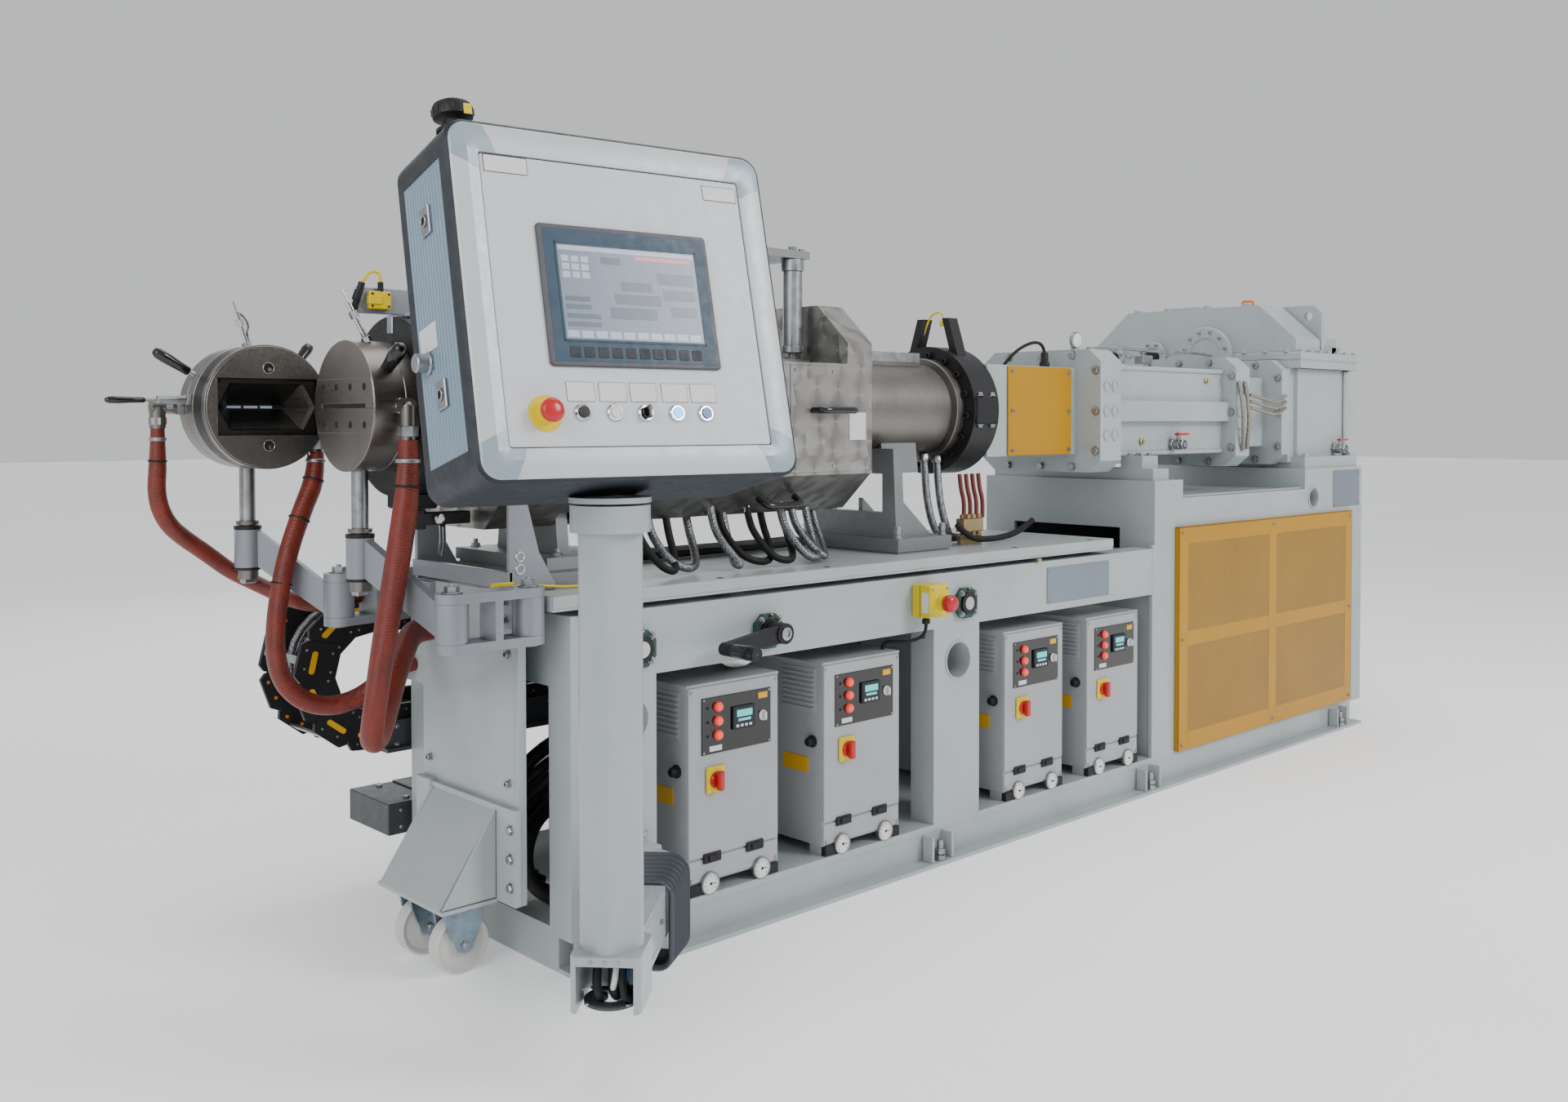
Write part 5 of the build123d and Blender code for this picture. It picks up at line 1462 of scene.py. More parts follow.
# a frame round the slot: upper and lower halves and the ends
sl_y, sl_z = 97.0, 4.6
up = [(AX_Y + y, AX_Z + z) for y, z in yy if z >= 0]
lo_ = [(AX_Y + y, AX_Z + z) for y, z in yy if z <= 0]
top = [(AX_Y + sl_y, AX_Z + sl_z)] + [(AX_Y + math.sqrt(132.9 ** 2 - sl_z ** 2), AX_Z + sl_z)] + [p for p in up if p[1] > AX_Z + sl_z + 1] + \
      [(2 * AX_Y - p[0], p[1]) for p in reversed(up) if p[1] > AX_Z + sl_z + 1] + [(AX_Y - math.sqrt(132.9 ** 2 - sl_z ** 2), AX_Z + sl_z)]
g.prism(top, "X", DX0 - 2.0, DX0 + 44, 0.8)
bot = [(p[0], 2 * AX_Z - p[1]) for p in top]
g.prism(bot, "X", DX0 - 2.0, DX0 + 44, 0.8)
w0 = math.sqrt(132.9 ** 2 - sl_z ** 2)
for s_ in (-1, 1):
    g.box(DX0 - 2.0, DX0 + 44, AX_Y + s_ * sl_y, AX_Y + s_ * (w0 - 0.4), AX_Z - sl_z, AX_Z + sl_z, 0.4)
g.done(30)
g = G("die_slot_shadow", DARK, "near_carrier")
g.box(DX0 - 1.2, DX0 + 3, AX_Y - sl_y, AX_Y + sl_y, AX_Z - sl_z + 0.2, AX_Z + sl_z - 0.2, 0.1)
for y_ in (-92, -31, 31, 92):
    for z in (AX_Z - 38, AX_Z + 38):
        g.cyl((DX0 - 2.5, AX_Y + y_, z), (1, 0, 0), 6.2, 1.0, 24, 0.1)
g.done()
# painted shade: darkened steel rims round the die holes
g = G("die_hole_rims", SHADED_STEEL, "near_carrier")
for y_ in (-92, -31, 31, 92):
    for z in (AX_Z - 38, AX_Z + 38):
        g.ring((DX0 - 2.8, AX_Y + y_, z), (1, 0, 0), 6.2, 7.6, 1.2, 24, 0.3)
g.done()
g = G("die_face", STEELF, "near_carrier")
g.lathe((DX0 + 0.5, AX_Y, AX_Z), (-1, 0, 0), [(133.6, -3), (133.6, 0), (132.6, 1.2), (130, 1.2), (0, 1.2)], 96)
g.done(30)
g = G("die_rings", STEEL, "near_carrier")
g.ring((DX0 + 2.6, AX_Y, AX_Z), (1, 0, 0), 126, 133.6, 62, 96, 1.0)
g.ring((DX0 + 66, AX_Y, AX_Z), (1, 0, 0), 126, 133.6, 31, 96, 1.5)
g.done(40)
gg, gr_ = G("die_grips", GRIP, "near_carrier"), G("die_lever_rods", ZINC, "near_carrier")
lever(gg, gr_, (-298, 212, 1248), (0, -78, 53), 4, 92, 13)
gg.done(50)
gr_.done()
g = G("die_fittings", ZINC, "near_carrier")
g.hexn((-282, 174, AX_Z), (0, -1, 0), 18, 16)
g.hexn((-282, 142, 1124), (0, 0, 1), 20, 20)
g.tube(smooth_path([(-282, 160, AX_Z), (-282, 146, AX_Z), (-282, 142, AX_Z - 8), (-282, 142, AX_Z - 36)], 16), 14, 18)
g.done()
g = G("die_probe", CHROME, "near_carrier")
probe(g, (-298, 278, 1314), (-346, 292, 1418))
g.done()
g = G("die_sensor_lead", BRAID, "near_carrier")
g.tube(smooth_path([(-340, 291, 1402), (-326, 292, 1388), (-316, 294, 1356), (-306, 292, 1336), (-296, 296, 1318)], 24), 2.4, 10)
g.done(60)

# front clamp ring -----------------------------------------------------------------
g = G("clamp_ring_blocks", BLACK, "carriage")
for s_ in (-1, 1):
    g.box(-222, -140, AX_Y + s_ * 176 - 16, AX_Y + s_ * 176 + 16, AX_Z - 46, AX_Z + 46, 4)
g.box(-226, -150, AX_Y - 40, AX_Y + 40, AX_Z - 214, AX_Z - 180, 4)
g.done()
g = G("clamp_ring_lug", ZINC, "carriage")
g.box(-236.5, -200, AX_Y - 10, AX_Y + 14, AX_Z + 150, AX_Z + 188, 2)
g.done()
g = G("clamp_ring_bolts", ZINC, "carriage")
for i in range(12):
    a = math.pi * 2 * i / 12 + 0.2
    g.bolt((-235, AX_Y + 160 * math.cos(a), AX_Z + 160 * math.sin(a)), (-1, 0, 0), 1.1, False, False)
for s_ in (-1, 1):
    for x in (-205, -160):
        g.bolt((x, AX_Y + s_ * 176, AX_Z + 46), (0, 0, 1), 12, False)
g.done()
g = G("ring_sensor_bracket", CARR, "carriage")
g.box(-312, -150, 300, 305, 1374, 1428, 2)
g.box(-222, -140, 262, 344, AX_Z + 184, AX_Z + 192, 2)
g.box(-156, -148, 270, 336, AX_Z + 186, 1428, 2)
g.done()
g = G("ring_sensor", YELP, "carriage")
g.box(-288, -241, 286, 300, 1383, 1420, 2.0)
g.box(-291, -262, 283, 296, 1392, 1411, 1.5)
g.box(1478, 1502, AX_Y - 40, AX_Y - 18, AX_Z + 246, AX_Z + 262, 2)
g.box(-118, -70, 96, 112, 803, 822, 2)
g.done()
g = G("ring_sensor_plug", BLACKP, "carriage")
g.cyl((-262, 292, 1419), (0, 0, 1), 6, 20, 16)
g.tube([(-300, 297, 1436), (-306, 298, 1416), (-314, 300, 1388), (-318, 301, 1372)], 7, 14)
g.cyl((-306, 298, 1420), (-0.35, 0.05, -1), 8.5, 22, 18)
for x in (-283, -247):
    for z in (1389, 1414):
        g.cyl((x, 286, z), (0, -1, 0), 2.6, 2, 12)
g.done()
g = G("sensor_leads", YELP, "carriage")
g.tube(smooth_path([(-262, 292, 1438), (-262, 292, 1456), (-276, 293, 1462), (-290, 295, 1454), (-300, 297, 1434)], 30), 3.2, 10)
g.tube(smooth_path([(1490, AX_Y - 28, AX_Z + 262), (1490, AX_Y - 24, AX_Z + 284), (1490, AX_Y + 8, AX_Z + 290), (1490, AX_Y + 40, AX_Z + 262), (1490, AX_Y + 60, AX_Z + 200)], 30), 3, 10)
g.tube(smooth_path([(-70, 104, 812), (-30, 100, 812), (20, 96, 806), (60, 92, 802), (90, 98, 801)], 24), 3, 10)
g.done(60)

# barrel, covers and feet -------------------------------------------------------------
g = G("cover_handles", GRIP, "carriage")
for x0, z in ((352, 1180), (780, 1180)):
    y = 88
    g.tube(smooth_path([(x0, y, z), (x0, y - 26, z), (x0 + 14, y - 34, z), (x0 + 60, y - 34, z), (x0 + 106, y - 34, z), (x0 + 120, y - 26, z), (x0 + 120, y, z)], 40), 9, 14)
g.tube(smooth_path([(640, 140, 966), (640, 116, 952), (654, 108, 946), (700, 108, 946), (746, 108, 946), (760, 116, 952), (760, 140, 966)], 40), 9, 14)
g.done(60)
g = G("cover_screws", ZINC, "carriage")
for x in range(-60, 980, 130):
    for z in (1040, 1278):
        g.cyl((x, 90, z), (0, -1, 0), 5, 2.4, 14, 0.5)
        g.cyl((x, 517.2, z), (0, 1, 0), 5, 2.4, 14, 0.5)
g.done()
g = G("cover_seams", DARK, "carriage")
for x in (330, 700):
    g.box(x, x + 1.6, 89.6, 90.4, 1024, 1294, 0.1)
    g.box(x, x + 1.6, 516.8, 517.6, 1024, 1294, 0.1)
g.done()
g = G("cover_plate_blank", LABEL, "carriage")
g.box(905, 965, 88.6, 90, 1105, 1175, 0.4)
g.done()
g = G("cover_corner_strips", COVER, "carriage")
g.box(-83, 989, 88.4, 92, 1018, 1026, 1)
g.box(-83, 900, 88.4, 94, 1290, 1298, 1)
g.box(-83, 900, 513, 519, 1290, 1298, 1)
g.done()
g = G("rear_ring_bolts", BLACK, "carriage")
for i in range(16):
    a = 2 * math.pi * i / 16 + 0.1
    g.bolt((1440, AX_Y + 160 * math.cos(a), AX_Z + 160 * math.sin(a)), (-1, 0, 0), 12, False, False)
for s_ in (-1, 1):
    g.box(1446, 1542, AX_Y + s_ * 178 - 12, AX_Y + s_ * 178 + 12, AX_Z - 40, AX_Z + 40, 4)
g.done()
g = G("rear_ring_screws", ZINC, "carriage")
for s_ in (-1, 1):
    for x in (1466, 1520):
        g.bolt((x, AX_Y + s_ * 180, AX_Z + 40), (0, 0, 1), 12, True)
        g.bolt((x, AX_Y + s_ * 180, AX_Z - 40), (0, 0, -1), 12, True)
g.done()
g = G("barrel_angle_lip", ZINC, "carriage")
g.box(1000, 1365, 260, 262.4, AX_Z + 134, AX_Z + 162, 0.6)
for x in (1030, 1330):
    g.bolt((x, 300, AX_Z + 136), (0, 0, 1), 9)
g.done()
g = G("barrel_flanges", BARREL, "carriage")
g.ring((992, AX_Y, AX_Z), (1, 0, 0), 128, 146, 22, 96, 2)
g.ring((1406, AX_Y, AX_Z), (1, 0, 0), 128, 150, 34, 96, 2)
g.done(40)
# hoses and pipes along the table
hb = G("barrel_braids", BRAID, "carriage")
hk = G("barrel_hoses", RUBBER, "carriage")
hf = G("barrel_hose_ends", ZINC, "carriage")
rnd = random.Random(11)
for i, (x, y, x2, dz, kind) in enumerate(((300, 128, 392, 0, 0), (352, 150, 470, 6, 1), (520, 120, 560, -4, 1), (560, 140, 700, 8, 0),
                                          (640, 126, 760, 0, 0), (742, 118, 836, -6, 1), (800, 140, 880, 4, 1))):
    c = [(x, y + 60, 960), (x, y + 50, 905), (x + 4, y + 16, 862), (x + 22, y - 18, 822 + dz * 0.3), ((x + x2) / 2, y - 28, 811),
         (x2 - 22, y - 8, 816), (x2 + 6, y + 36, 846 + dz), (x2 + 14, y + 70, 900), (x2 + 16, y + 84, 950)]
    (hb if kind else hk).tube(smooth_path(c, 60), 10 if kind else 9, 12)
    hf.hexn((x, y + 60, 930), (0, 0, 1), 13, 18)
    hf.hexn((x2 + 16, y + 82, 926), (0, 0, 1), 13, 18)
for i in range(4):
    y = 420 + i * 30
    c = [(260, y, 815), (420, y + 6, 812), (700, y - 4, 814), (960, y + 4, 812), (1090, y, 816)]
    hk.tube(smooth_path(c, 40), 10, 12)
for i, (x, zt) in enumerate(((1372, 1060), (1404, 1054))):
    c = [(x, 250 - i * 20, zt), (x, 246 - i * 20, 980), (x + 4, 236 - i * 20, 900), (x + 20, 226 - i * 20, 840), (x + 60, 230, 815), (x + 130, 240, 812)]
    hb.tube(smooth_path(c, 40), 11, 12)
    hf.hexn((x, 250 - i * 20, zt - 20), (0, 0, 1), 15, 20)
c = [(1400, 150, 860), (1440, 140, 820), (1520, 140, 812), (1620, 150, 814), (1720, 170, 826), (1800, 190, 850)]
hk.tube(smooth_path(c, 40), 9, 12)
for q in (hb, hk, hf):
    q.done(60)
g = G("barrel_red_tubes", HOSE, "carriage")
for i in range(4):
    x = 1470 + i * 28
    g.tube(smooth_path([(x, 200, 1000), (x, 196, 960), (x + 6, 190, 930), (x + 4, 186, 900), (x, 184, 872)], 24), 6.5, 12)
g.done(60)
g = G("manifold", BRASS, "carriage")
g.box(1458, 1570 - 24, 172, 204, 834, 872, 2)
for i in range(4):
    x = 1470 + i * 24
    g.hexn((x, 188, 872), (0, 0, 1), 9, 12)
    g.hexn((x, 188, 822), (0, 0, 1), 8, 12)
g.box(1454, 1548, 180, 196, 798, 824, 1)
g.done()
g = G("feed_drive_parts", ZINC, "carriage")
g.ring((858, 250, 1330), (0, 0, 1), 22, 30, 18, 36)
g.ring((858, 250, 1540), (0, 0, 1), 22, 30, 30, 36)
g.cyl((858, 250, 1348), (0, 0, 1), 25.5, 192, 40, 1)
for x in (726, 880):
    for y in (240, 404):
        g.bolt((x, y, 1592), (0, 0, 1), 9, True)
g.done()
g = G("hood_opening_lip", COVER, "carriage")
g.box(897, 990, 88, 519, 1292, 1299, 1.2)
g.done()

# drive train ---------------------------------------------------------------------------
g = G("yellow_covers", YEL, "base")
for y, s_ in ((164, -1), (443, 1)):
    g.box(1642, 1957, min(y, y + s_ * 6), max(y, y + s_ * 6), 1050, 1316, 2)
g.done()
g = G("yellow_cover_screws", ZINC, "base")
for y, s_ in ((158, -1), (449, 1)):
    for x in (1660, 1940):
        for z in (1066, 1183, 1300):
            g.bolt((x, y, z), (0, s_, 0), 6, False)
g.done()
g = G("flange_bolts", ZINC, "base")
for x0, x1 in ((1991, 2103), (2810, 2904), (3140, 3186)):
    for (y, z) in ((92, 1060), (92, 1184), (92, 1310), (515, 1060), (515, 1184), (515, 1310), (180, 1010), (300, 1010), (430, 1010),
                   (180, 1358), (300, 1358), (430, 1358)):
        g.bolt((x0, y, z), (-1, 0, 0), 13, True)
        g.bolt((x1, y, z), (1, 0, 0), 13, True)
g.done()
g = G("flange_pockets", GEAR, "base")
for x0, x1 in ((1991, 2103), (2810, 2904)):
    for z in (1110, 1184, 1260):
        g.lathe(((x0 + x1) / 2 - 22, 75, z), (0, -1, 0), [(18, 0), (18, 4), (14, 4), (13, 1), (0, 1)], 28)
        g.lathe(((x0 + x1) / 2 + 22, 75, z), (0, -1, 0), [(18, 0), (18, 4), (14, 4), (13, 1), (0, 1)], 28)
        g.lathe(((x0 + x1) / 2 - 22, 532, z), (0, 1, 0), [(18, 0), (18, 4), (14, 4), (13, 1), (0, 1)], 28)
        g.lathe(((x0 + x1) / 2 + 22, 532, z), (0, 1, 0), [(18, 0), (18, 4), (14, 4), (13, 1), (0, 1)], 28)
g.done()
g = G("housing_plugs", BRASS, "base")
g.hexn((2300, 130, 1085), (0, -1, 0), 12, 8, 5)
g.hexn((2700, 130, 1290), (0, -1, 0), 10, 7, 4)
g.done()
g = G("housing_ledges", GEAR, "base")
for y0, y1 in ((122, 132), (475, 485)):
    g.box(2103, 2810, y0, y1, 1041, 1056, 3)
    g.box(2103, 2810, y0, y1, 1316, 1331, 3)
g.box(2300, 2420, 240, 367, 1330, 1344, 4)
g.done()
g = G("ground_straps", STRAP, "base")
for x0, x1 in ((2830, 3170),):
    for k_ in range(3):
        z = 1200 + k_ * 22
        g.tube(smooth_path([(2900, 70, z), (2960, 52 - k_ * 4, z - 14), (3040, 50, z - 26), (3110, 58, z - 14), (3160, 70, z)], 30), 6, 10)
g.tube(smooth_path([(2820, 70, 1290), (2812, 52, 1230), (2820, 50, 1150), (2836, 60, 1080), (2850, 70, 1050)], 30), 7, 10)
g.tube(smooth_path([(2862, 70, 1290), (2854, 52, 1220), (2858, 50, 1150), (2866, 60, 1090), (2880, 70, 1056)], 30), 7, 10)
g.done(60)
g = G("gauge_and_lines", ZINC, "base")
g.ring((2300, 220, 1330), (0, 0, 1), 6, 12, 20, 20)
g.lathe((2000, 180, 1405), (0, -1, 0), [(26, 0), (26, 10), (24, 12), (0, 12)], 36)
g.cyl((2000, 186, 1376), (0, 0, 1), 6, 14, 14)
g.tube(smooth_path([(2100, 200, 1384), (2250, 196, 1392), (2500, 190, 1386), (2760, 190, 1392), (2860, 200, 1384)], 40), 5, 10)
g.box(2390, 2450, 180, 216, 1344, 1372, 3)
g.done()
g = G("gauge_face", DIAL, "base")
g.cyl((2000, 168, 1405), (0, -1, 0), 22, 0.8, 30, 0.1)
g.done()
g = G("sensor_plugs", RUBBER, "base")
g.lathe((1900, 220, 1318), (0, 0, 1), [(16, 0), (16, 14), (12, 20), (12, 44), (8, 48)], 24)
g.lathe((2180, 210, 1330), (0, 0, 1), [(22, 0), (22, 16), (17, 22), (17, 40), (10, 46)], 28)
g.tube(smooth_path([(1900, 220, 1362), (1900, 224, 1392), (1860, 240, 1398), (1800, 270, 1360), (1780, 290, 1318)], 30), 5, 10)
g.done(60)
# gearbox
g = G("gearbox_ribs", GEAR, "base")
for z0, z1 in ((1346, 1374), (1378, 1406)):
    g.box(3196, 3662, 29, 949, z0, z1, 3)
for x in (3400, 3560):
    g.box(x, x + 20, 916, 936, 1022, 1346, 4)
g.box(3590, 3622, 46, 62, 1022, 1346, 6)
for y in (420, 640, 860):
    g.box(3618, 3636, y, y + 22, 1022, 1346, 4)
g.box(3560, 3640, 90, 250, 1406, 1440, 5)
g.done()
g = G("gearbox_bolts", GEAR, "base")
for x in range(3225, 3650, 70):
    for y in (42, 936):
        g.bolt((x, y, 1406), (0, 0, 1), 11, True)
for y in range(90, 930, 84):
    g.bolt((3648, y, 1406), (0, 0, 1), 11, True)
    g.bolt((3203, y, 1406), (0, 0, 1), 11, True) if not 280 < y < 560 else None
for x in (3240, 3600):
    for y in (34, 944):
        g.cyl((x, y, 1020), (0, 0, 1), 16, 5, 20)
        g.bolt((x, y, 1020), (0, 0, 1), 16, True)
g.done()
g = G("bearing_caps", GEAR, "base")
for (y, r, t) in ((413, 108, 26), (653, 62, 14), (835, 52, 14)):
    g.lathe((3204, y, 1404), (-1, 0, 0), [(r, 0), (r, t - 3), (r - 3, t), (r * 0.62, t), (r * 0.58, t - 5), (0, t - 5)], 64)
g.done(40)
g = G("bearing_cap_bolts", ZINC, "base")
for (y, r, t, n_) in ((413, 108, 26, 12), (653, 62, 14, 8), (835, 52, 14, 8)):
    for i in range(n_):
        a = 2 * math.pi * (i + 0.5) / n_
        g.bolt((3204 - t, y + r * 0.82 * math.cos(a), 1404 + r * 0.82 * math.sin(a)), (-1, 0, 0), 8, False, False)
g.done()
g = G("seal_rings", RUBBER, "base")
for (y, r, t) in ((653, 30, 15), (835, 26, 15)):
    g.lathe((3204 - t + 6, y, 1404), (-1, 0, 0), [(r, 0), (r, 7), (r - 4, 9), (0, 9)], 36)
g.done()
g = G("breather_cap", ORANGE, "base")
g.lathe((3300, 300, 1586), (0, 0, 1), [(14, 0), (14, 8), (24, 10), (24, 24), (18, 28), (0, 28)], 30)
g.done()
g = G("gearbox_top_parts", GEAR, "base")
for y in (260, 430, 600, 740):
    g.box(3230, 3260, y, y + 24, 1586, 1600, 3)
    g.cyl((3340, y, 1586), (0, 0, 1), 12, 10, 20)
g.box(3250, 3370, 480, 640, 1586, 1600, 4)
g.done()
g = G("end_cover_parts", GEAR, "base")
g.lathe((3715, 170, AX_Z), (1, 0, 0), [(70, -1), (70, 1), (66, 2.6), (0, 2.6)], 48)
g.ring((3620, 170, AX_Z), (1, 0, 0), 98, 112, 18, 64)
for i in range(8):
    a = 2 * math.pi * i / 8
    g.bolt((3638, 170 + 106 * math.cos(a), AX_Z + 106 * math.sin(a)), (1, 0, 0), 7, True, False)
g.done(40)
# valves
g = G("valve_details", ZINC, "base")
for x, z, y0 in ((2480, 1074, 130), (3515, 1046, 60)):
    g.hexn((x, y0, z), (0, -1, 0), 19, 14)
    g.cyl((x, y0 - 14, z), (0, -1, 0), 17, 26, 26, 3)
    g.hexn((x, y0 - 40, z), (0, -1, 0), 18, 12)
    g.ring((x, y0 - 55, z), (0, 1, 0), 9, 14, 6, 24)
    g.hexn((x, y0 - 30, z + 38.5), (0, 0, 1), 7, 4)
g.done()
for i, (x, z, y0) in enumerate(((2480, 1074, 130), (3515, 1046, 60))):
    g = G("valve_lever_%d" % (i + 1), RED, "handle_%d" % (i + 1))
    g.prism([(x - 12, y0 - 38), (x + 20, y0 - 37), (x + 56, y0 - 36), (x + 62, y0 - 30), (x + 56, y0 - 24), (x + 20, y0 - 23), (x - 12, y0 - 22)],
            "Z", z + 30.5, z + 38, 1.2)
    o = g.done()
    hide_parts("valve_handle_%d" % (i + 1))

# energy chain: link plates, bars and braided hoses along one loop --------------------------
CX_, CZ_, RO, TH, CY0, CY1 = -84.0, 563.0, 188.0, 100.0, 697.0, 902.0
RM = RO - TH / 2


def chain_pt(s_):
    """Centre line of the loop: top run, bend, lower run. Returns point and tangent."""
    top = 250 - CX_
    arc = math.pi * RM
    if s_ < top:
        return Vector((250 - s_, 0, CZ_ + RM)), Vector((-1, 0, 0))
    if s_ < top + arc:
        a = math.pi / 2 + (s_ - top) / RM
        return Vector((CX_ + RM * math.cos(a), 0, CZ_ + RM * math.sin(a))), Vector((-math.sin(a), 0, math.cos(a)))
    return Vector((CX_ + (s_ - top - arc), 0, CZ_ - RM)), Vector((1, 0, 0))


total = (250 - CX_) + math.pi * RM + (900 - CX_)
pitch = 78.0
plates = G("chain_plates", BLACKP, "base")
bars = G("chain_bars", AMBER, "base")
stays = G("chain_stays", ZINC, "base")
pins = G("chain_pins", YELP, "base")
dots = G("chain_screws", ORANGE, "base")
holes = G("chain_holes", ZINC, "base")
nl = int(total / pitch)
for i in range(nl):
    s0 = (i + 0.5) * total / nl
    p, t = chain_pt(s0)
    nrm = Vector((-t.z, 0, t.x))
    L = total / nl * 0.60
    H = TH / 2 - 1.0

    def loc(a, b, y):
        q = p + t * a + nrm * b
        return (q.x, y, q.z)
    # link outline, wider toward one end as overlapping plates are
    out_ = [(-L, -H * 0.70), (-L * 0.8, -H), (L * 0.75, -H), (L, -H * 0.72), (L, H * 0.72), (L * 0.75, H), (-L * 0.8, H), (-L, H * 0.70)]
    off = 2.0 if i % 2 else 0.0
    for y0, y1 in ((CY0 + off, CY0 + 12 + off), (CY1 - 12 - off, CY1 - off)):
        vs = [loc(a, b, y0) for a, b in out_] + [loc(a, b, y1) for a, b in out_]
        n_ = len(out_)
        fs = [[k_, (k_ + 1) % n_, n_ + (k_ + 1) % n_, n_ + k_] for k_ in range(n_)]
        fs += [list(range(n_)), [n_ + k_ for k_ in range(n_)]]
        plates.add(vs, fs)
    inb = (250 - CX_) * 0.4 < s0 < (250 - CX_) + math.pi * RM + 60
    for y0, y1 in ((CY0 - 3.5, CY0 + 3), (CY1 - 3, CY1 + 3.5)):
        if inb:
            m_ = []
            for k_ in range(16):
                a = 2 * math.pi * k_ / 16
                m_.append(((20 if math.cos(a) > 0 else -20) + 6.5 * math.cos(a), 6.5 * math.sin(a) - H * 0.26))
            vs = [loc(a, b, y0) for a, b in m_] + [loc(a, b, y1) for a, b in m_]
            fs = [[k_, (k_ + 1) % 16, 16 + (k_ + 1) % 16, 16 + k_] for k_ in range(16)] + [list(range(16)), [16 + k_ for k_ in range(16)]]
            bars.add(vs, fs)
        else:
            for a_ in (-16, 18):
                c0 = Vector(loc(a_, 0, y0))
                pins.cyl(c0, (0, 1, 0), 9, y1 - y0, 20, 0.6)
    for a_, b_ in ((-L * 0.55, 30), (L * 0.35, 34), (L * 0.35, -30), (-L * 0.55, -34)):
        dots.cyl(Vector(loc(a_, b_, CY1 - 12.5)), (0, -1, 0), 4.2, 2.0, 12, 0.4)
        holes.cyl(Vector(loc(a_, b_, CY0 - 0.6)), (0, 1, 0), 3.0, 3.0, 12, 0.2)
    if i % 2 == 0:
        for sg in (-1, 1):
            c0 = [loc(-9, sg * (H - 8), CY0 + 10), loc(9, sg * (H - 8), CY0 + 10), loc(9, sg * (H - 2), CY0 + 10), loc(-9, sg * (H - 2), CY0 + 10)]
            c1 = [(x, CY1 - 10, z) for x, _, z in c0]
            stays.add(c0 + c1, [[0, 1, 5, 4], [1, 2, 6, 5], [2, 3, 7, 6], [3, 0, 4, 7], [0, 1, 2, 3], [4, 5, 6, 7]])
for q in (bars, stays, pins, dots, holes):
    q.done()
o = plates.done()
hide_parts("energy_chain")
hz_ = G("chain_hoses", BRAID, "base")
hk_ = G("chain_cables", RUBBER, "base")
for k_ in range(7):
    y = CY0 + 30 + k_ * 24
    off = (-12, 8, -4, 14, -10, 4, 10)[k_]
    pts = []
    for j in range(60):
        p, t = chain_pt(20 + (total - 40) * j / 59)
        nrm = Vector((-t.z, 0, t.x))
        q = p + nrm * (off + 3 * math.sin(j * 0.5 + k_))
        pts.append((q.x, y + 2 * math.sin(j * 0.4 + k_ * 2), q.z))
    (hz_ if k_ < 5 else hk_).tube(pts, 10 if k_ < 5 else 8, 10)
hz_.done(60)
hk_.done(60)
g = G("trough_screws", ZINC, "base")
for x in (-30, 60, 400, 700):
    for z in (380, 424):
        g.bolt((x, 688, z), (0, -1, 0), 6, False)
        g.bolt((x, 910, z), (0, 1, 0), 6, False)
for x in (-20, 500, 1000, 1460):
    for z in (180, 220):
        g.bolt((x, 692, z), (0, -1, 0), 6, False)
        g.bolt((x, 892, z), (0, 1, 0), 6, False)
for y in (720, 860):
    g.bolt((10, y, 236), (0, 0, 1), 8, True)
g.done()
g = G("duct_lid", DGREY, "base")
g.box(-52, 30, 690, 894, 162, 238, 2)
g.box(60, 1500, 694, 890, 236, 240, 1)
g.done()

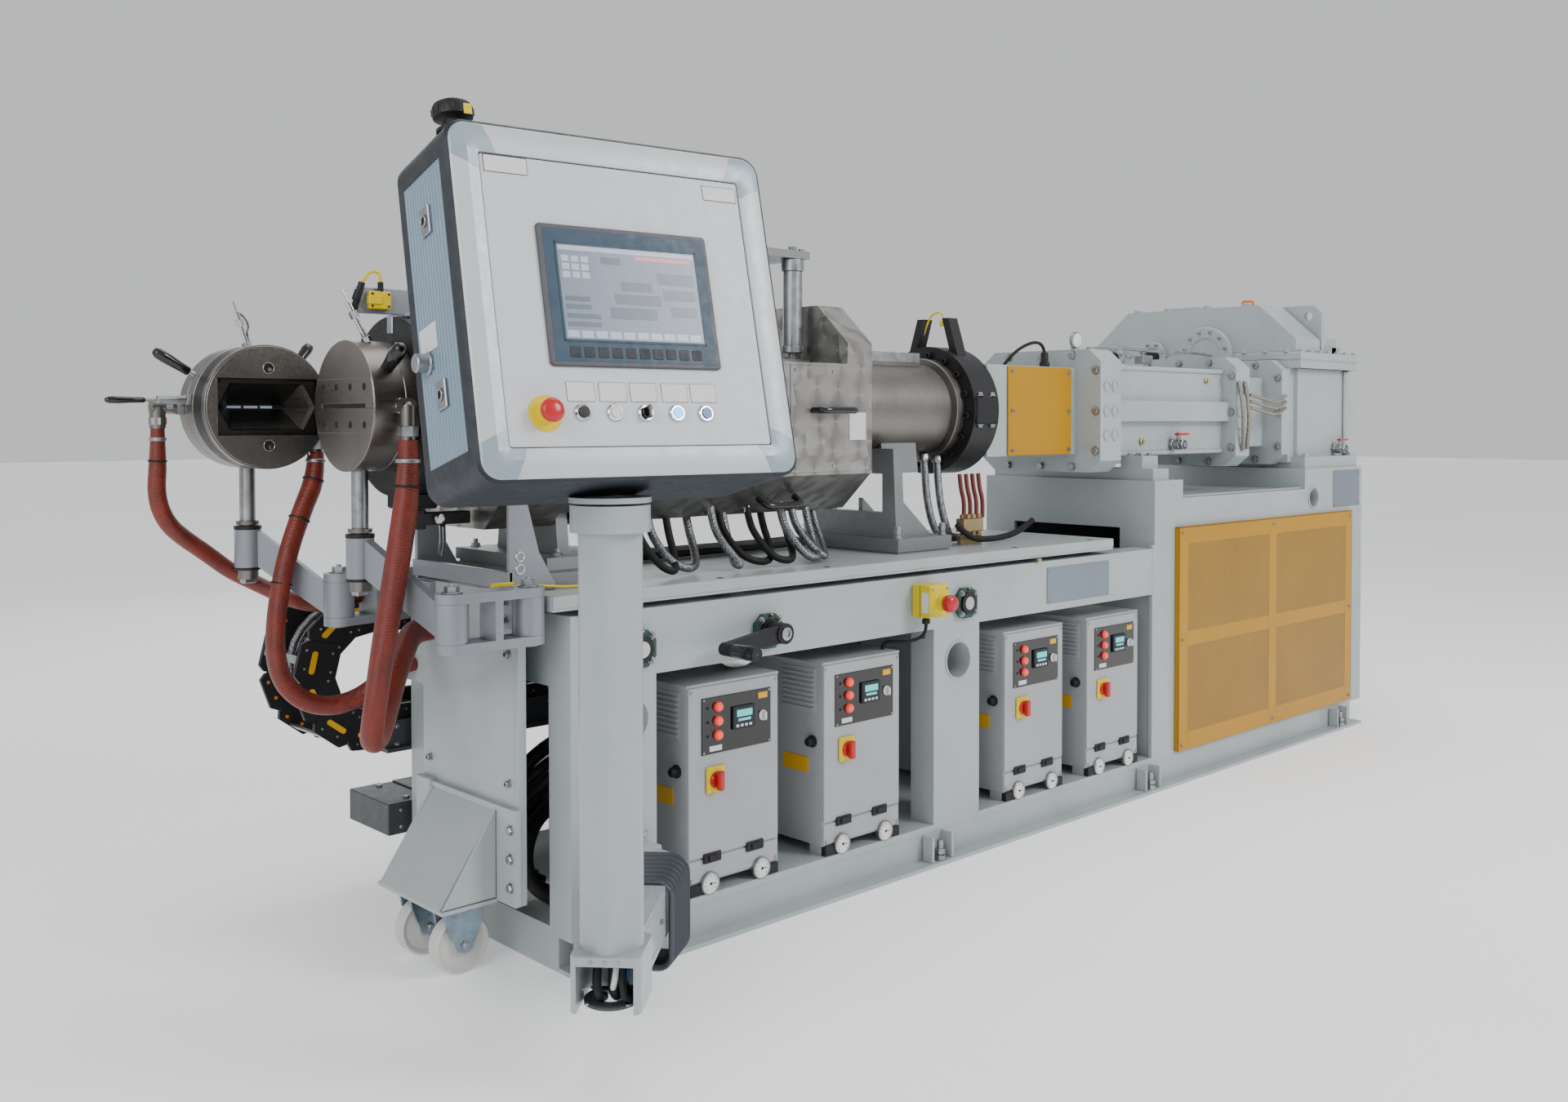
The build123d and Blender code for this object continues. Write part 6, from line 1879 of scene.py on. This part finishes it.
# rear face of the base: closing panels and doors -----------------------------------------------
g = G("rear_panels", FRAME, "base")
for x0, x1 in ((1330, 1745), (1755, 2170)):
    g.box(x0, x1, 664, 670, 110, 600, 2)
g.done()
g = G("rear_panel_latches", BLACKP, "base")
for x in (1352, 1777):
    g.cyl((x, 670, 360), (0, 1, 0), 12, 6, 22)
g.done()
g = G("right_end_panel", PERFG, "base")
g.box(3633, 3636, 60, 612, 160, 900, 1)
g.done()
g = G("screw_flights", BRIGHT, "base")
rows = []
x0_, x1_, lead = 66.0, 1540.0, 105.0
ns = 360
for i in range(ns + 1):
    x = x0_ + (x1_ - x0_) * i / ns
    a = 2 * math.pi * (x - x0_) / lead
    c_, s_ = math.cos(a), math.sin(a)
    rows.append([(x - 6, AX_Y + 58 * c_, AX_Z + 58 * s_), (x - 5, AX_Y + 61.0 * c_, AX_Z + 61.0 * s_), (x + 5, AX_Y + 61.0 * c_, AX_Z + 61.0 * s_),
                 (x + 6, AX_Y + 58 * c_, AX_Z + 58 * s_)])
loft(g, rows, True, True, closed=True)
g.done(40)

# stage and light ----------------------------------------------------------------------------------
me = bpy.data.meshes.new("floor")
me.from_pydata([(-40, -40, 0), (40, -40, 0), (40, 40, 0), (-40, 40, 0)], [], [(0, 1, 2, 3)])
fl = bpy.data.objects.new("floor", me)
bpy.context.scene.collection.objects.link(fl)
m, nt, b = new_mat("floor_pale")
v = coord(nt)
nn = nd(nt, "ShaderNodeTexNoise", Scale=0.6, Detail=3.0)
nt.links.new(v, nn.inputs["Vector"])
c = ramp(nt, nn.outputs["Fac"], [(0.3, (0.88, 0.88, 0.88)), (0.7, (0.92, 0.92, 0.92))])
nt.links.new(c, b.inputs["Base Color"])
b.inputs["Roughness"].default_value = 0.9
b.inputs["Specular IOR Level"].default_value = 0.1
b.inputs["Emission Color"].default_value = (0.95, 0.97, 1.0, 1)
b.inputs["Emission Strength"].default_value = 0.30
me.materials.append(m)
w = bpy.data.worlds.new("studio")
bpy.context.scene.world = w
w.use_nodes = True
bg = w.node_tree.nodes["Background"]
bg.inputs["Color"].default_value = (0.97, 0.985, 1.0, 1)
bg.inputs["Strength"].default_value = 0.70


def area(name, loc, target, size, power, size_y=None):
    d = bpy.data.lights.new(name, "AREA")
    d.energy = power
    d.size = size
    if size_y:
        d.shape = "RECTANGLE"
        d.size_y = size_y
    o = bpy.data.objects.new(name, d)
    bpy.context.scene.collection.objects.link(o)
    o.location = loc
    o.rotation_euler = (Vector(target) - Vector(loc)).to_track_quat("-Z", "Y").to_euler()


area("key", (1.6, -5.4, 4.2), (0.0, 0, 0.8), 2.2, 235)
area("left", (-5.2, -1.8, 2.6), (-1.0, 0, 0.8), 2.4, 70)
area("top", (0, 0.3, 5.0), (0, 0, 0.8), 3.4, 80)
area("rim", (1.0, 5.0, 3.6), (0, 0, 0.8), 4.0, 60)
